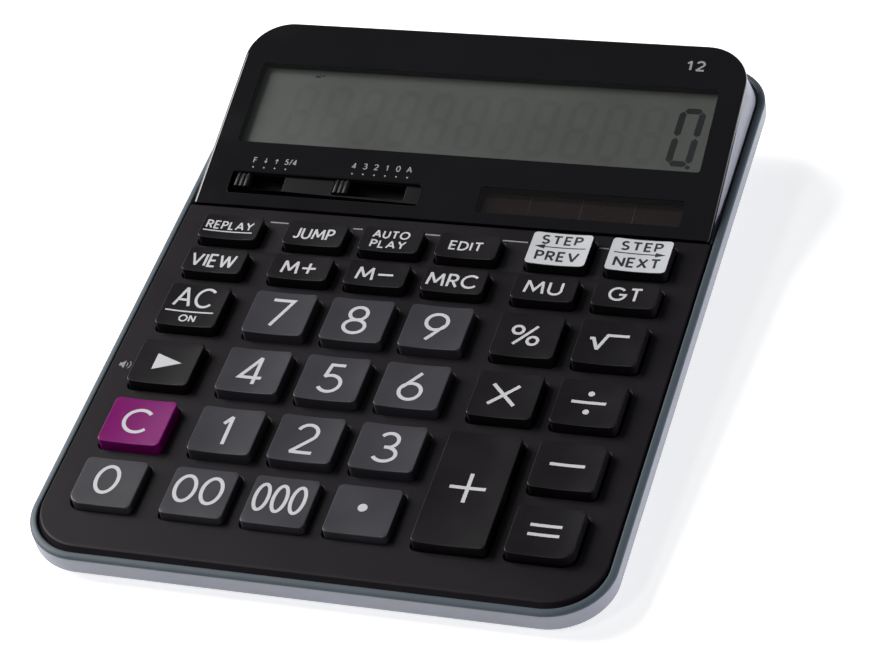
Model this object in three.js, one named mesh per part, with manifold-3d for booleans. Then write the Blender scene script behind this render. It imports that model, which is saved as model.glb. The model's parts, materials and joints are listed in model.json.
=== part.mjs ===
// A twelve-digit desk calculator: a silver tray with a raised rear pod, a black key plate with 35 sprung
// keys, and a tilted display head that holds the glass display, a solar strip and two slide switches.
//
// Everything is placed in the body frame: x to the right, y from the front edge to the back, z square to
// the key plate, with z = 0 on the plate's top. The body group then tilts that frame back, so that the
// feet stand on the desk. All lengths are in millimetres.
import * as THREE from "three";
import { mergeVertices } from "three/addons/utils/BufferGeometryUtils.js";
import Module from "manifold-3d";

const wasm = await Module();
wasm.setup();

const { degToRad } = THREE.MathUtils;

// ---------------------------------------------------------------- driving dimensions

const WIDTH = 140;
const DEPTH = 184.3;
const CORNER_RADIUS = 15;
const BODY_TILT = degToRad(4.6); // the key plate against the desk
const GAP = 0.3; // clearance between pieces that rest on each other
const DRAW = 0.4; // clearance round pieces that drop into an opening

// Heights in the body frame.
const PLATE_THICKNESS = 1.8;
const LEDGE_TOP = -2.3; // the step inside the tray that carries the plate and the head
const FLOOR_TOP = -6.5;
const FLOOR_BOTTOM = -8;
const FOOT_HEIGHT = 1.2;

// Tray, all insets from its outer wall.
const TRAY_WALL = 3.6;
const RIM_WIDTH = 1.8;
const FLOOR_INSET = 3;
const RIM_HEIGHT = -1.1; // where the rounded rim meets the wall
const WALL_BOTTOM = -5.8;

// Key plate.
const PLATE_INSET = 2.4;
const PLATE_FRONT = 3.4;
const PLATE_BACK = 117.4;
const DECK_TOP = -2; // the plate's rear deck, under the display head
const DECK_THICKNESS = 1.4;
const DECK_INSET = 4.4;
const LIP_WIDTH = 1.6;

// Keys.
const KEY_WIDTH = 15;
const KEY_DEPTH = 13.9;
const SHORT_KEY_DEPTH = 8.1;
const SILVER_KEY_DEPTH = 11;
const KEY_HEIGHT = 3.2; // above the plate
const KEY_TRAVEL = 1.3;
const KEY_WALL = 1.2;
const KEY_CORNER = 1.3;
const OUTER_KEY_CORNER = 5; // the two keys in the front corners are rounded more
const FLANGE_WIDTH = 0.8;
const FLANGE_THICKNESS = 0.6;
const FLANGE_TOP = -PLATE_THICKNESS - 0.25;
const PLUNGER_BOTTOM = -2.5;
const COLUMN_PITCH = 19.9;
const COLUMN_BREAK = 2.75; // extra room after the first and the fourth column
const FRONT_ROW = 13.6;
const ROW_PITCH = 19.55;
const MEMORY_ROW = 91.2;
const REPLAY_ROW = 103.3;
const PLUS_KEY_WIDTH = 16.7;

// Display head, in its own plane: u across, v up the slope from its front edge, w square to its face.
const HEAD_FRONT = 117.8;
const HEAD_STEP = 0.5;
const HEAD_TILT = degToRad(11.6);
const HEAD_WIDTH = 134.4;
const HEAD_LENGTH = 59.7;
const HEAD_CORNER = 11.5;
const WINDOW_THICKNESS = 2;
const RISER_WALL = 1.5;

// Slide switches, in the head's plane.
const SWITCH_STEP = 2.95; // from one printed position to the next
const KNOB_WIDTH = 3.8;
const KNOB_LENGTH = 3.9;
const SWITCH_RECESS = { left: -59.5, right: -7.9, front: 3.7, back: 10.8 };
const SWITCHES = {
  rounding_switch_knob: { left: -58, steps: 3 },
  decimal_switch_knob: { left: -31.2, steps: 5 },
};

// The display's two sheets of glass and the solar strip, under the window, in the head's plane.
const LCD = { halfWidth: 62.5, contactLedge: 16.5, rearGlassFront: 19, back: 49, glass: 1.2 };
const SOLAR_CELL = { left: 6.6, right: 60, front: 2.9, back: 12, thickness: 1.1 };
const DISPLAY_BOARD = { left: -61, right: -6, front: 2.6, back: 13.5, bottom: -6.4, top: -5.4 };

// Rear pod, battery and feet.
const POD_WALL = 1.6;
const POD_CORNER = 9;
const POD_TOP = { half: 56, front: 90, back: 176 };
const POD_BASE = { half: 50, front: 104, back: 171 };
const POD_CENTRE = 150;
const FOOT_RADIUS = 4.5;
const FRONT_FOOT = { x: 52, y: 10 };
const REAR_FOOT = { x: 40, y: 14 };
const COIN_CELL = { diameter: 11.6, height: 5.4, y: 1.8, bottom: 2.4 };
const BATTERY_DOOR = { x: -22, width: 30, length: 20, thickness: 1.3 };
const CASE_SCREW = { x: 63.2, y: 22 };
const BUZZER = { x: 25, radius: 10, innerRadius: 7 };
const SOUND_SLOTS = { left: 19, right: 31, half: 0.7, rows: [-4, 0, 4] };

// ---------------------------------------------------------------- shapes and solids

/** A rounded rectangle. Radii go front right, back right, back left, front left. */
function rectangle(left, right, front, back, radii) {
  const steps = radii.map((radius) => (radius > 8 ? 6 : radius > 2 ? 4 : 1));
  return { left, right, front, back, radii, steps };
}

/** The points of a rectangle, anticlockwise, inset by a distance that its corners share. */
function outline(shape, inset = 0) {
  const sides = [
    [shape.right, shape.front],
    [shape.right, shape.back],
    [shape.left, shape.back],
    [shape.left, shape.front],
  ];
  const points = [];
  sides.forEach(([x, y], corner) => {
    const radius = Math.max(shape.radii[corner] - inset, 0.1);
    const reach = inset + radius;
    const centreX = x + (x === shape.right ? -reach : reach);
    const centreY = y + (y === shape.back ? -reach : reach);
    for (let step = 0; step <= shape.steps[corner]; step += 1) {
      const angle = ((corner - 1 + step / shape.steps[corner]) * Math.PI) / 2;
      points.push(new THREE.Vector2(centreX + radius * Math.cos(angle), centreY + radius * Math.sin(angle)));
    }
  });
  return points;
}

/** The same outline in space. The height is a number, or a function of y for a sloping ring. */
function ring(shape, inset, height) {
  return outline(shape, inset).map(({ x, y }) => {
    const z = typeof height === "function" ? height(y) : height;
    return new THREE.Vector3(x, y, z);
  });
}

function signedVolume(points, triangles) {
  return triangles.reduce((sum, [a, b, c]) => {
    const normal = new THREE.Vector3().crossVectors(points[b], points[c]);
    return sum + points[a].dot(normal) / 6;
  }, 0);
}

/** A closed skin over rings of equal length: flat ends, or, if looped, the last ring joined to the first. */
function loft(rings, looped = false) {
  const size = rings[0].length;
  const points = rings.flat();
  const triangles = [];
  const bands = looped ? rings.length : rings.length - 1;
  for (let band = 0; band < bands; band += 1) {
    const low = band * size;
    const high = ((band + 1) % rings.length) * size;
    for (let i = 0; i < size; i += 1) {
      const next = (i + 1) % size;
      triangles.push([low + i, low + next, high + next], [low + i, high + next, high + i]);
    }
  }
  if (!looped) {
    const flat = (from) => from.map(({ x, y }) => new THREE.Vector2(x, y));
    const last = points.length - size;
    THREE.ShapeUtils.triangulateShape(flat(rings[0]), []).forEach(([a, b, c]) => triangles.push([c, b, a]));
    THREE.ShapeUtils.triangulateShape(flat(rings.at(-1)), []).forEach(([a, b, c]) =>
      triangles.push([last + a, last + b, last + c]),
    );
  }
  const insideOut = signedVolume(points, triangles) < 0;
  const index = triangles.flatMap(([a, b, c]) => (insideOut ? [a, c, b] : [a, b, c]));
  return new THREE.BufferGeometry().setFromPoints(points).setIndex(index);
}

/** A flat plate from a rectangle, with rectangles cut through it, from one height to another. */
function plate(shape, bottom, top, openings = []) {
  const drawn = new THREE.Shape(outline(shape));
  drawn.holes = openings.map((opening) => new THREE.Path(outline(opening)));
  const geometry = new THREE.ExtrudeGeometry(drawn, { depth: top - bottom, bevelEnabled: false });
  return geometry.translate(0, 0, bottom);
}

/** A box from its six sides. */
function slab(left, right, front, back, bottom, top) {
  const geometry = new THREE.BoxGeometry(right - left, back - front, top - bottom);
  return geometry.translate((left + right) / 2, (front + back) / 2, (bottom + top) / 2);
}

/** An upright cylinder. */
function rod(x, y, bottom, top, radius, sides = 12) {
  const geometry = new THREE.CylinderGeometry(radius, radius, top - bottom, sides);
  return geometry.rotateX(Math.PI / 2).translate(x, y, (bottom + top) / 2);
}

/** A turned piece, upright, from [radius, height] points that start and end on its axis. */
function turned(x, y, profile, sides = 16) {
  const points = profile.map(([radius, height]) => new THREE.Vector2(radius, height));
  return new THREE.LatheGeometry(points, sides).rotateX(Math.PI / 2).translate(x, y, 0);
}

function toSolid(geometry) {
  const bare = geometry.clone();
  bare.deleteAttribute("normal");
  bare.deleteAttribute("uv");
  const merged = mergeVertices(bare, 1e-4);
  const vertProperties = merged.getAttribute("position").array;
  const triVerts = new Uint32Array(merged.index.array);
  return new wasm.Manifold(new wasm.Mesh({ numProp: 3, vertProperties, triVerts }));
}

function toGeometry(solid) {
  const { vertProperties, triVerts } = solid.getMesh();
  const geometry = new THREE.BufferGeometry();
  geometry.setAttribute("position", new THREE.BufferAttribute(new Float32Array(vertProperties), 3));
  geometry.setIndex(new THREE.BufferAttribute(new Uint32Array(triVerts), 1));
  geometry.computeVertexNormals();
  return geometry;
}

function join(first, ...others) {
  return toGeometry(others.reduce((solid, other) => solid.add(toSolid(other)), toSolid(first)));
}

function cut(first, ...tools) {
  return toGeometry(tools.reduce((solid, tool) => solid.subtract(toSolid(tool)), toSolid(first)));
}

// ---------------------------------------------------------------- materials

function plastic(color, roughness) {
  return new THREE.MeshStandardMaterial({ color, roughness, metalness: 0 });
}

function metal(color, roughness) {
  return new THREE.MeshStandardMaterial({ color, roughness, metalness: 1 });
}

const MATERIALS = {
  silverPaint: plastic(0xa9aeb4, 0.42),
  blackPlate: plastic(0x262224, 0.5),
  blackKey: plastic(0x1e1a1c, 0.38),
  greyKey: plastic(0x45454a, 0.42),
  magentaKey: plastic(0x730569, 0.38),
  silverKey: plastic(0xc8cbcd, 0.4),
  window: plastic(0x121114, 0.08),
  recess: plastic(0x2c2c30, 0.45),
  displayGlass: plastic(0x555a55, 0.2),
  solarGlass: plastic(0x1e1918, 0.15),
  rubber: plastic(0x2b2c2e, 0.85),
  mat: plastic(0x8f9396, 0.75),
  board: plastic(0x2f5d3a, 0.5),
  flex: plastic(0xb98a4a, 0.35),
  steel: metal(0xb7b9bb, 0.3),
  brass: metal(0xc9a14a, 0.3),
};

// ---------------------------------------------------------------- frames and sloping planes

const calculator = new THREE.Group();
const body = new THREE.Group();
body.rotation.x = BODY_TILT;
calculator.add(body);

const head = new THREE.Group();
head.position.set(0, HEAD_FRONT, HEAD_STEP);
head.rotation.x = HEAD_TILT;
body.add(head);

/** Height of the desk in the body frame: the plane under all four feet. */
function deskHeight(y) {
  return FLOOR_BOTTOM - FOOT_HEIGHT - (y - FRONT_FOOT.y) * Math.tan(BODY_TILT);
}

/** Height of the pod's underside, which is level with the desk. */
function podHeight(y) {
  return deskHeight(y) + FOOT_HEIGHT / Math.cos(BODY_TILT);
}

/** Height in the body frame of the plane that lies a depth below the head's face. */
function headHeight(y, depth) {
  return HEAD_STEP + (y - HEAD_FRONT) * Math.tan(HEAD_TILT) - depth / Math.cos(HEAD_TILT);
}

// The underside frame lies on the pod's underside, level with the desk.
const underside = new THREE.Group();
underside.position.set(0, POD_CENTRE, podHeight(POD_CENTRE));
underside.rotation.x = -BODY_TILT;
underside.updateMatrix();
body.add(underside);

function add(parent, name, geometry, material) {
  const mesh = new THREE.Mesh(geometry, material);
  mesh.name = name;
  parent.add(mesh);
  return mesh;
}

// ---------------------------------------------------------------- the keys

function columnCentre(column) {
  const breaks = (column > 0 ? COLUMN_BREAK : 0) + (column > 3 ? COLUMN_BREAK : 0);
  const middle = (5 * COLUMN_PITCH + 2 * COLUMN_BREAK) / 2;
  return column * COLUMN_PITCH + breaks - middle;
}

const MAIN_ROWS = [0, 1, 2, 3].map((row) => FRONT_ROW + row * ROW_PITCH);
const { blackKey, greyKey, magentaKey, silverKey } = MATERIALS;

// Each row from the front: its front edge, its depth and its keys from left to right.
const KEY_ROWS = [
  { front: MAIN_ROWS[0], depth: KEY_DEPTH, keys: ["0", "00", "000", "point", null, "equals"] },
  { front: MAIN_ROWS[1], depth: KEY_DEPTH, keys: ["clear", "1", "2", "3", null, "minus"] },
  { front: MAIN_ROWS[2], depth: KEY_DEPTH, keys: ["delete", "4", "5", "6", "multiply", "divide"] },
  { front: MAIN_ROWS[3], depth: KEY_DEPTH, keys: ["all_clear", "7", "8", "9", "percent", "root"] },
  {
    front: MEMORY_ROW,
    depth: SHORT_KEY_DEPTH,
    keys: ["view", "memory_plus", "memory_minus", "memory_recall", "mark_up", "grand_total"],
  },
  {
    front: REPLAY_ROW,
    depth: SHORT_KEY_DEPTH,
    keys: ["replay", "jump", "auto_play", "edit", "step_back", "step_forward"],
  },
];
const SILVER_KEYS = ["step_back", "step_forward"];

function keyRadii(name) {
  const radii = [KEY_CORNER, KEY_CORNER, KEY_CORNER, KEY_CORNER];
  if (name === "equals") radii[0] = OUTER_KEY_CORNER;
  if (name === "0") radii[3] = OUTER_KEY_CORNER;
  return radii;
}

function keyMaterial(name) {
  if (/^[0-9]+$/.test(name) || name === "point") return greyKey;
  if (name === "clear") return magentaKey;
  return SILVER_KEYS.includes(name) ? silverKey : blackKey;
}

function keyShapes() {
  const shapes = {};
  KEY_ROWS.forEach(({ front, depth, keys }) => {
    keys.forEach((name, column) => {
      if (name === null) return;
      const x = columnCentre(column);
      const length = SILVER_KEYS.includes(name) ? SILVER_KEY_DEPTH : depth;
      shapes[name] = rectangle(x - KEY_WIDTH / 2, x + KEY_WIDTH / 2, front, front + length, keyRadii(name));
    });
  });
  // The tall plus key fills two rows of the fifth column and reaches further to the left.
  const right = columnCentre(4) + KEY_WIDTH / 2;
  const back = MAIN_ROWS[1] + KEY_DEPTH;
  shapes.plus = rectangle(right - PLUS_KEY_WIDTH, right, MAIN_ROWS[0], back, keyRadii("plus"));
  return shapes;
}

/** A hollow key cap with a flange that the plate holds down and a plunger over the mat. */
function keyCap(shape) {
  const ceiling = KEY_HEIGHT - KEY_WALL;
  const flangeBottom = FLANGE_TOP - FLANGE_THICKNESS;
  const shell = loft([
    ring(shape, KEY_WALL, ceiling),
    ring(shape, KEY_WALL, flangeBottom),
    ring(shape, -FLANGE_WIDTH, flangeBottom),
    ring(shape, -FLANGE_WIDTH, FLANGE_TOP),
    ring(shape, 0, FLANGE_TOP),
    ring(shape, 0.1, KEY_HEIGHT - 0.5),
    ring(shape, 0.5, KEY_HEIGHT),
  ]);
  const { x, y } = keyCentre(shape);
  return join(shell, rod(x, y, PLUNGER_BOTTOM, ceiling + KEY_WALL / 2, 1.2, 6));
}

function keyCentre(shape) {
  return { x: (shape.left + shape.right) / 2, y: (shape.front + shape.back) / 2 };
}

/** A shape grown by a clearance on every side. */
function grown(shape, clearance) {
  const { left, right, front, back, radii } = shape;
  const wider = radii.map((radius) => radius + clearance);
  return rectangle(left - clearance, right + clearance, front - clearance, back + clearance, wider);
}

const KEY_SHAPES = keyShapes();

function buildKeys() {
  Object.entries(KEY_SHAPES).forEach(([name, shape]) => {
    add(body, `key_${name}`, keyCap(shape), keyMaterial(name));
  });
}

// ---------------------------------------------------------------- the case

const TRAY = rectangle(-WIDTH / 2, WIDTH / 2, 0, DEPTH, Array(4).fill(CORNER_RADIUS));

/** The silver tray: a rounded rim, a low wall, an inner ledge and a floor with chamfered edges. */
function tray() {
  return loft([
    ring(TRAY, TRAY_WALL, FLOOR_TOP),
    ring(TRAY, TRAY_WALL, LEDGE_TOP),
    ring(TRAY, RIM_WIDTH, LEDGE_TOP),
    ring(TRAY, RIM_WIDTH, -0.6),
    ring(TRAY, RIM_WIDTH - 0.35, -0.35),
    ring(TRAY, 0.5, -0.6),
    ring(TRAY, 0, RIM_HEIGHT),
    ring(TRAY, 0, WALL_BOTTOM),
    ring(TRAY, FLOOR_INSET, FLOOR_BOTTOM),
  ]);
}

/** The pod that lifts the back of the calculator and holds the battery and the buzzer. */
function pod(inset, top, floor) {
  const radii = Array(4).fill(POD_CORNER);
  const upper = rectangle(-POD_TOP.half, POD_TOP.half, POD_TOP.front, POD_TOP.back, radii);
  const lower = rectangle(-POD_BASE.half, POD_BASE.half, POD_BASE.front, POD_BASE.back, radii);
  return loft([ring(upper, inset, top), ring(lower, inset, (y) => podHeight(y) + floor)]);
}

function inUnderside(geometry) {
  return geometry.applyMatrix4(underside.matrix);
}

const DOOR_SCREW_Y = -7.6;

function bottomCase() {
  const { x, width, length } = BATTERY_DOOR;
  const left = x - width / 2;
  const front = -length / 2;
  const shell = join(tray(), pod(0, FLOOR_TOP - 0.5, 0));
  const hollow = cut(shell, pod(POD_WALL, FLOOR_TOP + 1, POD_WALL));
  // The bridge that takes the battery door's screw.
  const bridge = join(
    slab(x - 4, x + 4, front - 3, front - 0.4, 0.6, 5),
    slab(x - 4, x + 4, front - 3, front + 4.6, 1.9, 5),
  );
  const soundSlots = SOUND_SLOTS.rows.map((y) => {
    const reach = SOUND_SLOTS.half;
    return inUnderside(slab(SOUND_SLOTS.left, SOUND_SLOTS.right, y - reach, y + reach, -1, 3));
  });
  const screwHoles = [-1, 1].flatMap((side) => [
    rod(side * CASE_SCREW.x, CASE_SCREW.y, FLOOR_BOTTOM - 1, FLOOR_TOP + 1, 1.3),
    rod(side * CASE_SCREW.x, CASE_SCREW.y, FLOOR_BOTTOM - 1, FLOOR_BOTTOM + 1.1, 2.5),
  ]);
  const doorway = inUnderside(slab(left, left + width, front, -front, -1, 3));
  const opened = cut(hollow, doorway, ...soundSlots, ...screwHoles);
  return cut(join(opened, inUnderside(bridge)), inUnderside(rod(x, DOOR_SCREW_Y, 1, 6, 1.1)));
}

/** The key plate, with its rear deck under the head and the bosses for the case screws. */
function topCase() {
  const halfWidth = WIDTH / 2 - PLATE_INSET;
  const frontRadius = CORNER_RADIUS - PLATE_INSET;
  const radii = [frontRadius, 0.5, 0.5, frontRadius];
  const shape = rectangle(-halfWidth, halfWidth, PLATE_FRONT, PLATE_BACK, radii);
  const openings = Object.values(KEY_SHAPES).map((key) => grown(key, DRAW));
  const deckHalf = WIDTH / 2 - DECK_INSET;
  const deckRadius = CORNER_RADIUS - DECK_INSET;
  const deckBack = DEPTH - DECK_INSET;
  const lipFront = PLATE_BACK - LIP_WIDTH;
  const deck = rectangle(-deckHalf, deckHalf, lipFront, deckBack, [0.5, deckRadius, deckRadius, 0.5]);
  const displayWell = rectangle(-62, 62, PLATE_BACK + 2.8, deckBack - 3, [2, 9, 9, 2]);
  const deckBottom = DECK_TOP - DECK_THICKNESS;
  const bosses = [-1, 1].map((side) =>
    rod(side * CASE_SCREW.x, CASE_SCREW.y, FLOOR_TOP + GAP, -PLATE_THICKNESS / 2, 2.3),
  );
  const bores = [-1, 1].map((side) =>
    rod(side * CASE_SCREW.x, CASE_SCREW.y, FLOOR_TOP - 1, -PLATE_THICKNESS - 0.6, 1.3),
  );
  const whole = join(
    plate(shape, -PLATE_THICKNESS, 0, openings),
    plate(deck, deckBottom, DECK_TOP, [displayWell]),
    slab(-deckHalf, deckHalf, lipFront, PLATE_BACK, deckBottom, -PLATE_THICKNESS / 2),
    ...bosses,
  );
  return cut(whole, ...bores);
}

/** The silver riser that lifts the window out of the tray: a tube from the ledge to the head's plane. */
function headFrame() {
  const footHalf = WIDTH / 2 - RIM_WIDTH - DRAW;
  const footRadius = CORNER_RADIUS - RIM_WIDTH - DRAW;
  const front = HEAD_FRONT + 1.2;
  const footBack = DEPTH - RIM_WIDTH - DRAW;
  const foot = rectangle(-footHalf, footHalf, front, footBack, [1.5, footRadius, footRadius, 1.5]);
  const topBack = HEAD_FRONT + HEAD_LENGTH * Math.cos(HEAD_TILT);
  const topHalf = HEAD_WIDTH / 2 - 0.3;
  const top = rectangle(-topHalf, topHalf, front, topBack, [1.5, HEAD_CORNER, HEAD_CORNER, 1.5]);
  const underWindow = (y) => headHeight(y, WINDOW_THICKNESS + GAP);
  const footHeight = LEDGE_TOP + GAP;
  return loft(
    [
      ring(foot, 0, footHeight),
      ring(top, 0, underWindow),
      ring(top, RISER_WALL, underWindow),
      ring(foot, RISER_WALL, footHeight),
    ],
    true,
  );
}

function caseScrew(side) {
  const head = FLOOR_BOTTOM + 0.2;
  const profile = [
    [0, head],
    [2.1, head],
    [2.1, head + 0.7],
    [0.95, head + 0.75],
    [0.95, head + 4.6],
    [0, head + 5.2],
  ];
  const x = side * CASE_SCREW.x;
  const y = CASE_SCREW.y;
  const reach = 1.2;
  const half = 0.25;
  return cut(
    turned(x, y, profile, 12),
    slab(x - reach, x + reach, y - half, y + half, head - 1, head + 0.4),
    slab(x - half, x + half, y - reach, y + reach, head - 1, head + 0.4),
  );
}

/** A front foot: its top follows the sloping floor and its bottom lies level on the desk. */
function frontFoot(side) {
  const { x, y } = FRONT_FOOT;
  const circle = rectangle(
    side * x - FOOT_RADIUS,
    side * x + FOOT_RADIUS,
    y - FOOT_RADIUS,
    y + FOOT_RADIUS,
    Array(4).fill(FOOT_RADIUS),
  );
  return loft([ring(circle, 0.2, deskHeight), ring(circle, 0, FLOOR_BOTTOM - 0.15)]);
}

function buildCase() {
  const { silverPaint, blackPlate, rubber, steel } = MATERIALS;
  add(body, "bottom_case", bottomCase(), silverPaint);
  add(body, "top_case", topCase(), blackPlate);
  add(body, "head_frame", headFrame(), silverPaint);
  [-1, 1].forEach((side) => {
    const hand = side < 0 ? "left" : "right";
    add(body, `case_screw_${hand}`, caseScrew(side), steel);
    add(body, `foot_front_${hand}`, frontFoot(side), rubber);
    const rear = rod(side * REAR_FOOT.x, REAR_FOOT.y, -FOOT_HEIGHT, -0.15, FOOT_RADIUS, 16);
    add(underside, `foot_rear_${hand}`, rear, rubber);
  });
}

// ---------------------------------------------------------------- the display head

const LCD_TOP = -WINDOW_THICKNESS - 0.4;
const RECESS_FLOOR = -0.8;
const BEZEL_BOTTOM = -WINDOW_THICKNESS - 1.3;

function recessShape() {
  const { left, right, front, back } = SWITCH_RECESS;
  return rectangle(left, right, front, back, Array(4).fill(1.2));
}

/** The one-piece front window, with the cut-out for the slide switches. */
function displayWindow() {
  const half = HEAD_WIDTH / 2;
  const face = rectangle(-half, half, 0, HEAD_LENGTH, [0.6, HEAD_CORNER, HEAD_CORNER, 0.6]);
  const pane = loft([ring(face, 0, -WINDOW_THICKNESS), ring(face, 0, -0.6), ring(face, 0.6, 0)]);
  return cut(pane, plate(recessShape(), -WINDOW_THICKNESS - 1, 1));
}

function slotShape({ left, steps }) {
  const right = left + KNOB_WIDTH + steps * SWITCH_STEP;
  const back = SWITCH_RECESS.back - 0.6;
  const front = back - KNOB_LENGTH;
  return rectangle(left - GAP, right + GAP, front - GAP, back + GAP, Array(4).fill(0.4));
}

/** The recessed panel that fills the window's cut-out and guides the two knobs. */
function switchBezel() {
  const { left, right, front, back } = SWITCH_RECESS;
  const base = rectangle(left - 1.5, right + 1.5, front - 0.9, back + 2, Array(4).fill(1));
  const raised = rectangle(left + GAP, right - GAP, front + GAP, back - GAP, Array(4).fill(1));
  const whole = join(
    plate(base, BEZEL_BOTTOM, -WINDOW_THICKNESS - GAP),
    plate(raised, BEZEL_BOTTOM, RECESS_FLOOR),
  );
  const slots = Object.values(SWITCHES).map((slot) => plate(slotShape(slot), BEZEL_BOTTOM - 1, 0));
  return cut(whole, ...slots);
}

/** A slide knob: a ridged finger block on a wider shoe that runs under the bezel. */
function switchKnob({ left }) {
  const back = SWITCH_RECESS.back - 0.6;
  const front = back - KNOB_LENGTH;
  const right = left + KNOB_WIDTH;
  const shoeTop = BEZEL_BOTTOM - GAP;
  const block = slab(left, right, front, back, shoeTop - 0.3, 0.1);
  const shoe = slab(left - 1, right + 1, front - 1, back + 1, shoeTop - 0.8, shoeTop);
  const grooves = [0.32, 0.68].map((share) => {
    const x = left + share * KNOB_WIDTH;
    return slab(x - 0.25, x + 0.25, front - 1, back + 1, -0.25, 1);
  });
  return cut(join(block, shoe), ...grooves);
}

/** Two sheets of glass: the front one reaches further down, where the connector is bonded on. */
function lcdModule() {
  const { halfWidth, contactLedge, rearGlassFront, back, glass } = LCD;
  const overlap = 0.2;
  const seam = LCD_TOP - glass;
  const frontGlass = slab(-halfWidth, halfWidth, contactLedge, back, seam, LCD_TOP);
  const rearGlass = slab(-halfWidth, halfWidth, rearGlassFront, back, seam - glass, seam + overlap);
  return join(frontGlass, rearGlass);
}

/** The switch board, with the chip under a blob of resin. */
function displayBoard() {
  const { left, right, front, back, bottom, top } = DISPLAY_BOARD;
  const middle = (bottom + top) / 2;
  const chip = { x: -13, y: 8, radius: 4, shoulder: 3.4, height: 0.7 };
  const chipBlob = turned(chip.x, chip.y, [
    [0, middle],
    [chip.radius, middle],
    [chip.shoulder, top + chip.height - 0.3],
    [0, top + chip.height],
  ]);
  return join(slab(left, right, front, back, bottom, top), chipBlob);
}

/** The flat flexible strip from the key board up to the display's contact ledge. */
function lcdFlex() {
  const thickness = 0.3;
  const width = 40;
  const left = 8;
  // Points along the strip as [y, z], from the key board to the glass.
  const route = [
    [113.9, -4.6],
    [118.6, -4.6],
    [130, -3.6],
    [136, -1.1],
    [140.5, -0.2],
  ];
  const upper = route.map(([y, z]) => new THREE.Vector2(y, z));
  const lower = route.map(([y, z]) => new THREE.Vector2(y, z - thickness)).reverse();
  const side = new THREE.Shape([...upper, ...lower]);
  const strip = new THREE.ExtrudeGeometry(side, { depth: width, bevelEnabled: false });
  // The route is drawn in the plane of y and z, and the strip runs across the calculator.
  const along = new THREE.Vector3(0, 1, 0);
  const up = new THREE.Vector3(0, 0, 1);
  const across = new THREE.Matrix4().makeBasis(along, up, new THREE.Vector3(1, 0, 0));
  return strip.applyMatrix4(across).translate(left, 0, 0);
}

function buildHead() {
  const { window, recess, blackKey, displayGlass, solarGlass, board, flex } = MATERIALS;
  add(head, "display_window", displayWindow(), window);
  add(head, "switch_bezel", switchBezel(), recess);
  Object.entries(SWITCHES).forEach(([name, slot]) => add(head, name, switchKnob(slot), blackKey));
  add(head, "lcd_module", lcdModule(), displayGlass);
  const solarTop = -WINDOW_THICKNESS - GAP;
  const { left, right, front, back, thickness } = SOLAR_CELL;
  add(head, "solar_cell", slab(left, right, front, back, solarTop - thickness, solarTop), solarGlass);
  add(head, "display_board", displayBoard(), board);
  add(body, "lcd_flex", lcdFlex(), flex);
}

// ---------------------------------------------------------------- the inside

const MAT_BOTTOM = -4.9;
const MAT_TOP = -4.4;
const DOME_TOP = PLUNGER_BOTTOM - KEY_TRAVEL - GAP;
const BOARD_TOP = -5.2;
const BOARD_BOTTOM = -6.2;
const INNER_HALF = 60.5;
const MAT = { front: 9, back: 113.2 };
const DOME = { topRadius: 1.6, baseRadius: 2.4, sides: 8 };
const MAIN_BOARD = { front: 8, back: 117 };
const BOARD_PEG = { x: 59, frontY: 30, backY: 95, radius: 1 }; // the holes that locate the board

/** The rubber mat, with a low dome under every key, drawn as it is when the key is down. */
function keypadMat() {
  const sheet = slab(-INNER_HALF, INNER_HALF, MAT.front, MAT.back, MAT_BOTTOM, MAT_TOP);
  const domes = Object.values(KEY_SHAPES).map((shape) => {
    const { x, y } = keyCentre(shape);
    const height = DOME_TOP - MAT_BOTTOM;
    const dome = new THREE.CylinderGeometry(DOME.topRadius, DOME.baseRadius, height, DOME.sides);
    return dome.rotateX(Math.PI / 2).translate(x, y, MAT_BOTTOM + height / 2);
  });
  return join(sheet, ...domes);
}

function mainBoard() {
  const sheet = slab(-INNER_HALF, INNER_HALF, MAIN_BOARD.front, MAIN_BOARD.back, BOARD_BOTTOM, BOARD_TOP);
  const holes = [-BOARD_PEG.x, BOARD_PEG.x].flatMap((x) =>
    [BOARD_PEG.frontY, BOARD_PEG.backY].map((y) =>
      rod(x, y, BOARD_BOTTOM - 1, BOARD_TOP + 1, BOARD_PEG.radius),
    ),
  );
  return cut(sheet, ...holes);
}

function batteryDoor() {
  const { x, width, length, thickness } = BATTERY_DOOR;
  const halfWidth = width / 2 - GAP;
  const halfLength = length / 2 - GAP;
  const door = slab(x - halfWidth, x + halfWidth, -halfLength, halfLength, 0, thickness);
  return cut(door, rod(x, DOOR_SCREW_Y, -1, 3, 1.3), rod(x, DOOR_SCREW_Y, -1, 0.9, 2.2));
}

function doorScrew() {
  const profile = [
    [0, 0.15],
    [1.9, 0.15],
    [1.9, 0.8],
    [0.85, 0.85],
    [0.85, 4.4],
    [0, 4.9],
  ];
  const slot = slab(-1.4, 1.4, -0.25, 0.25, -1, 0.45).translate(BATTERY_DOOR.x, DOOR_SCREW_Y, 0);
  return cut(turned(BATTERY_DOOR.x, DOOR_SCREW_Y, profile, 12), slot);
}

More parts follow.
